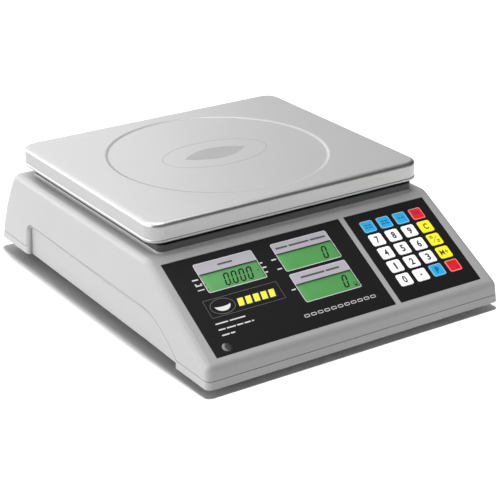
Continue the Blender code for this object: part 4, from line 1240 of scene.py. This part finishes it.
def rear_sockets(plastic, white):
    """Rocker switch and power inlet in the rear bay."""
    bm = add_rounded(bmesh.new(), (0, 0), (0.016, 0.023), 0.0012,
                     [(0, 0), (0, 0.0009), (0.0003, 0.0014), (0.0007, 0.0015)], 5)
    bm = unite(bm, add_box(bmesh.new(), (-0.0065, -0.010, -0.014), (0.0065, 0.010, 0.0005)))
    blades = bmesh.new()
    for y in (-0.006, 0.006):
        add_box(blades, (-0.002, y - 0.0004, -0.021), (0.002, y + 0.0004, -0.0135))
    bm = unite(bm, blades)
    bm = subtract(bm, add_box(bmesh.new(), (-0.0055, -0.0094, -0.0075), (0.0055, 0.0094, 0.01)))
    piece("switch_frame", bm, plastic, "housing", ["switch_body"],
          rear_matrix(SWITCH_X, BAY_Y + 0.0003))

    outline = [(-0.001, -0.0080), (-0.0035, 0.0), (-0.001, 0.0080)]
    for i in range(13):
        t = i / 12
        outline.append((0.0036 - 0.0014 * sin(pi * t), 0.0082 - 0.0164 * t))
    place = Matrix.Translation((SWITCH_X, BAY_Y, SOCKET_Z)) @ Matrix.Rotation(ROCKER_TILT, 4, "X")
    bm = soften(add_prism_x(bmesh.new(), outline, -0.0051, 0.0051), 0.0004, 40)
    piece("rocker_cap", bm, plastic, "rocker", ["power_rocker"], place)
    marks = add_box(bmesh.new(), (-0.0002, -0.0064, 0.0), (0.0002, -0.0038, 0.0004))
    outer, inner = (ellipse(radius, radius, 28, (0, 0.0052)) for radius in (0.0013, 0.0010))
    add_collar(marks, outer, inner, 0.0, 0.0004)
    front = place @ Matrix.Translation((0, 0.00285, 0)) @ Matrix.Rotation(-pi / 2, 4, "X")
    piece("rocker_marks", marks, white, "rocker", place=front)

    profile = [(0.0046, -0.012), (0.0046, 0.0003), (0.0063, 0.0003), (0.0065, 0.0006), (0.0065, 0.0018),
               (0.0062, 0.0022), (0.0035, 0.0022), (0.0031, 0.0018), (0.0031, -0.008), (0.0010, -0.008),
               (0.0010, 0.0004), (0.0006, 0.001)]
    piece("inlet", add_lathe(bmesh.new(), profile, 48), plastic, "housing", ["dc_jack"],
          rear_matrix(JACK_X, BAY_Y))


def bubble_level(glass, plastic, dark):
    """Round spirit level on the well's floor."""
    at = middle("spirit_level")
    low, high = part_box("spirit_level")
    place = Matrix.Translation((at.x, at.y, low.z))
    tall = high.z - low.z
    cup = add_lathe(bmesh.new(), [(0.0090, 0.0), (0.0090, tall * 0.78), (0.0086, tall * 0.86),
                                  (0.0078, tall * 0.86), (0.0076, tall * 0.70)], 48)
    piece("level_cup", cup, plastic, "housing", ["spirit_level"], place)
    dome = [(0.0075, tall * 0.45)] + [(0.0075 * c, tall * (0.82 + 0.18 * s)) for c, s in quarter(7)[:-1]]
    piece("level_vial", add_lathe(bmesh.new(), dome, 48), glass, "housing", place=place, sharp=60)
    z = tall * 0.985
    outer, inner = (ellipse(radius, radius, 32) for radius in (0.0026, 0.0022))
    bm = add_collar(bmesh.new(), outer, inner, z - 0.0003, z + 0.00005)
    piece("level_ring", bm, dark, "housing", place=place)


def support_cross(look):
    """Cast cross that carries the pan: a ribbed plate, four arms and their posts."""
    low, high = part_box("pan_support")
    top = low.z + 0.006
    reach_x, reach_y = 0.108, 0.078
    bm = add_rounded(bmesh.new(), (0, 0), (0.080, 0.136), 0.006, edge_levels(low.z, top, 0.0012, 3), 6)
    reach, turn = hypot(reach_x, reach_y), atan2(reach_y, reach_x)
    for sign in (-1, 1):
        arm = add_rounded(bmesh.new(), (0, 0), (2 * reach + 0.012, 0.016), 0.0075,
                          edge_levels(low.z + 0.0005, top + 0.004, 0.0012, 3), 8)
        bm = unite(bm, arm, Matrix.Rotation(sign * turn, 4, "Z"))
    posts = bmesh.new()
    profile = [(0.0105, low.z + 0.001), (0.0098, low.z + 0.016), (0.0095, high.z - 0.001), (0.0085, high.z)]
    for sx in (-1, 1):
        for sy in (-1, 1):
            add_lathe(posts, profile, 40, (sx * reach_x, sy * reach_y, 0))
    bm = unite(bm, posts)
    holes = bmesh.new()
    for at in middles("upper_cell_screw", 2):
        add_cylinder(holes, 0, at.y - PAN_Y, low.z - 0.01, top + 0.01, 0.0029, 28)
    bm = subtract(bm, holes)
    piece("support_cross", bm, look, "platform", ["pan_support"], Matrix.Translation((0, PAN_Y, 0)))


def soft_pads(look):
    """Rubber pads between the cross and the pan."""
    for i, name in enumerate(numbered("support_pad")):
        low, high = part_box(name)
        at, radius, tall = middle(name), (high.x - low.x) / 2, high.z - low.z
        profile = [(radius - 0.0004, 0.0), (radius, 0.0004)]
        profile += [(radius - 0.0020 * (1 - c), tall - 0.0022 * (1 - s)) for c, s in quarter(6)[:-1]]
        bm = add_lathe(bmesh.new(), profile + [(radius - 0.003, tall)], 40)
        place = Matrix.Translation((at.x, at.y, low.z))
        piece(f"pad_{i + 1}", bm, look, "platform", [name], place, 50)


def paint_hidden_nodes(looks):
    """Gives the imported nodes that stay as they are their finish."""
    groups = {"cast_aluminium": ["load_cell", "lower_spacer", "upper_spacer"],
              "plated_steel": ["base_plate", *numbered("upper_cell_screw", 2),
                               *numbered("lower_cell_screw", 2)],
              "circuit_board": ["main_board", "display_board", "keypad_board"], "battery_case": ["battery"]}
    for look, names in groups.items():
        for name in names:
            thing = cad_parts[name]
            thing.data.materials.clear()
            thing.data.materials.append(looks[look])


# ---------------------------------------------------------------- camera, floor, light

def camera():
    made = bpy.data.objects.new("camera", bpy.data.cameras.new("camera"))
    made.location = (-0.77432, -1.17658, 0.63324)
    made.rotation_euler = (radians(66.7), 0, radians(-33.76))
    made.data.lens = 115.63
    made.data.sensor_width = 36
    made.data.clip_start, made.data.clip_end = 0.05, 60
    bpy.context.scene.collection.objects.link(made)
    bpy.context.scene.camera = made


def floor(look):
    """A large plain floor that curls up at its far rim."""
    turns = [2 * pi * i / 96 for i in range(96)]
    bm = bmesh.new()
    loops = join_rings(bm, [[(r * cos(a), r * sin(a), z) for a in turns] for r, z in
                            ((0.5, 0.0), (1.5, 0.0), (4.0, 0.0), (7.0, 0.0), (9.0, 0.3), (10.0, 1.2))])
    bm.faces.new(loops[0])
    made = mesh_object("floor", bm)
    made.data.materials.append(look)
    made.data.shade_smooth()
    return made


def area_light(name, place, size, power, ground, state):
    """A lamp that faces the scale. EXCLUDE makes it light all but the ground, and INCLUDE only that."""
    lamp = bpy.data.lights.new(name, "AREA")
    lamp.shape = "RECTANGLE"
    lamp.size, lamp.size_y = size
    lamp.energy = power
    made = bpy.data.objects.new(name, lamp)
    made.location = place
    made.rotation_euler = (Vector((0, 0, 0.06)) - Vector(place)).to_track_quat("-Z", "Y").to_euler()
    bpy.context.scene.collection.objects.link(made)
    receivers = bpy.data.collections.new(f"{name}_receivers")
    receivers.objects.link(ground)
    receivers.collection_objects[0].light_linking.link_state = state
    made.light_linking.receiver_collection = receivers


def sky_lobe(tree, along, strength):
    """Light that grows with the square of how far a direction leans towards one side."""
    lean = node(tree, "Math", {0: along, 1: 0.0}, operation="MAXIMUM").outputs[0]
    lean = node(tree, "Math", {0: lean, 1: 2.0}, operation="POWER").outputs[0]
    return node(tree, "Math", {0: lean, 1: strength}, operation="MULTIPLY").outputs[0]


def studio(ground):
    """Soft light: broad lamps above and behind on the operator's left, and a sky that is bright behind.

    The floor has a lamp of its own, nearly overhead, so that it stays plain with a short shadow.
    """
    for name, place, size, power in (("left", (-2.2, 0.2, 1.2), (1.8, 1.8), 49),
                                     ("left_back", (-1.6, 1.6, 1.6), (1.8, 1.8), 15),
                                     ("left_front", (-1.6, -1.4, 1.6), (1.6, 1.6), 1.5),
                                     ("low_back", (-1.4, 2.0, 0.3), (2.0, 0.5), 19),
                                     ("top", (0, 0.3, 2.4), (2.2, 2.2), 64),
                                     ("back", (0.3, 2.4, 1.4), (2.2, 1.6), 7)):
        area_light(name, place, size, power, ground, "EXCLUDE")
    area_light("floor_wash", (0.2, 0.2, 2.6), (0.4, 0.4), 108, ground, "INCLUDE")
    world = bpy.data.worlds.new("studio")
    world.use_nodes = True
    tree = world.node_tree
    axes = node(tree, "SeparateXYZ", {"Vector": node(tree, "TexCoord").outputs["Generated"]})
    front = node(tree, "Math", {0: axes.outputs["Y"], 1: -1.0}, operation="MULTIPLY").outputs[0]
    sky = node(tree, "Math", {0: sky_lobe(tree, axes.outputs["Y"], 2.0), 1: sky_lobe(tree, front, 0.27)},
               operation="ADD").outputs[0]
    sky = node(tree, "Math", {0: sky, 1: sky_lobe(tree, axes.outputs["Z"], 0.2)}, operation="ADD").outputs[0]
    tree.links.new(sky, tree.nodes["Background"].inputs["Color"])
    bpy.context.scene.world = world
    bpy.context.scene.view_settings.view_transform = "Standard"


# ---------------------------------------------------------------- everything

def main():
    looks = all_looks()
    shell, zinc, plastic, rubber = (looks[name] for name in
                                    ("shell_plastic", "plated_steel", "black_plastic", "black_rubber"))
    white_ink, dark_ink = looks["white_ink"], looks["dark_ink"]
    camera()
    studio(floor(looks["floor_paint"]))

    lower_shell(shell)
    upper_shell(shell)
    shade_edge_strip(looks["shade_strip_black"])
    pan_tray(looks["brushed_steel"])
    pan_mark(looks["etched_steel"])
    films(looks["overlay_film"])
    window_frames(looks["border_ink"], looks["silver_ink"], dark_ink)
    legend_marks(white_ink)
    badge(white_ink, looks["grey_ink"], looks["yellow_ink"], looks["blue_ink"])
    small_print(white_ink)
    displays(looks["lcd_glass"], looks["segment_dark"])
    status_window(looks["smoked_lens"])
    keys(looks)
    feet(rubber, zinc)
    case_screws(zinc)
    battery_door(shell)
    rear_sockets(plastic, white_ink)
    bubble_level(looks["vial_glass"], plastic, dark_ink)
    support_cross(looks["cast_black"])
    soft_pads(rubber)
    paint_hidden_nodes(looks)


main()
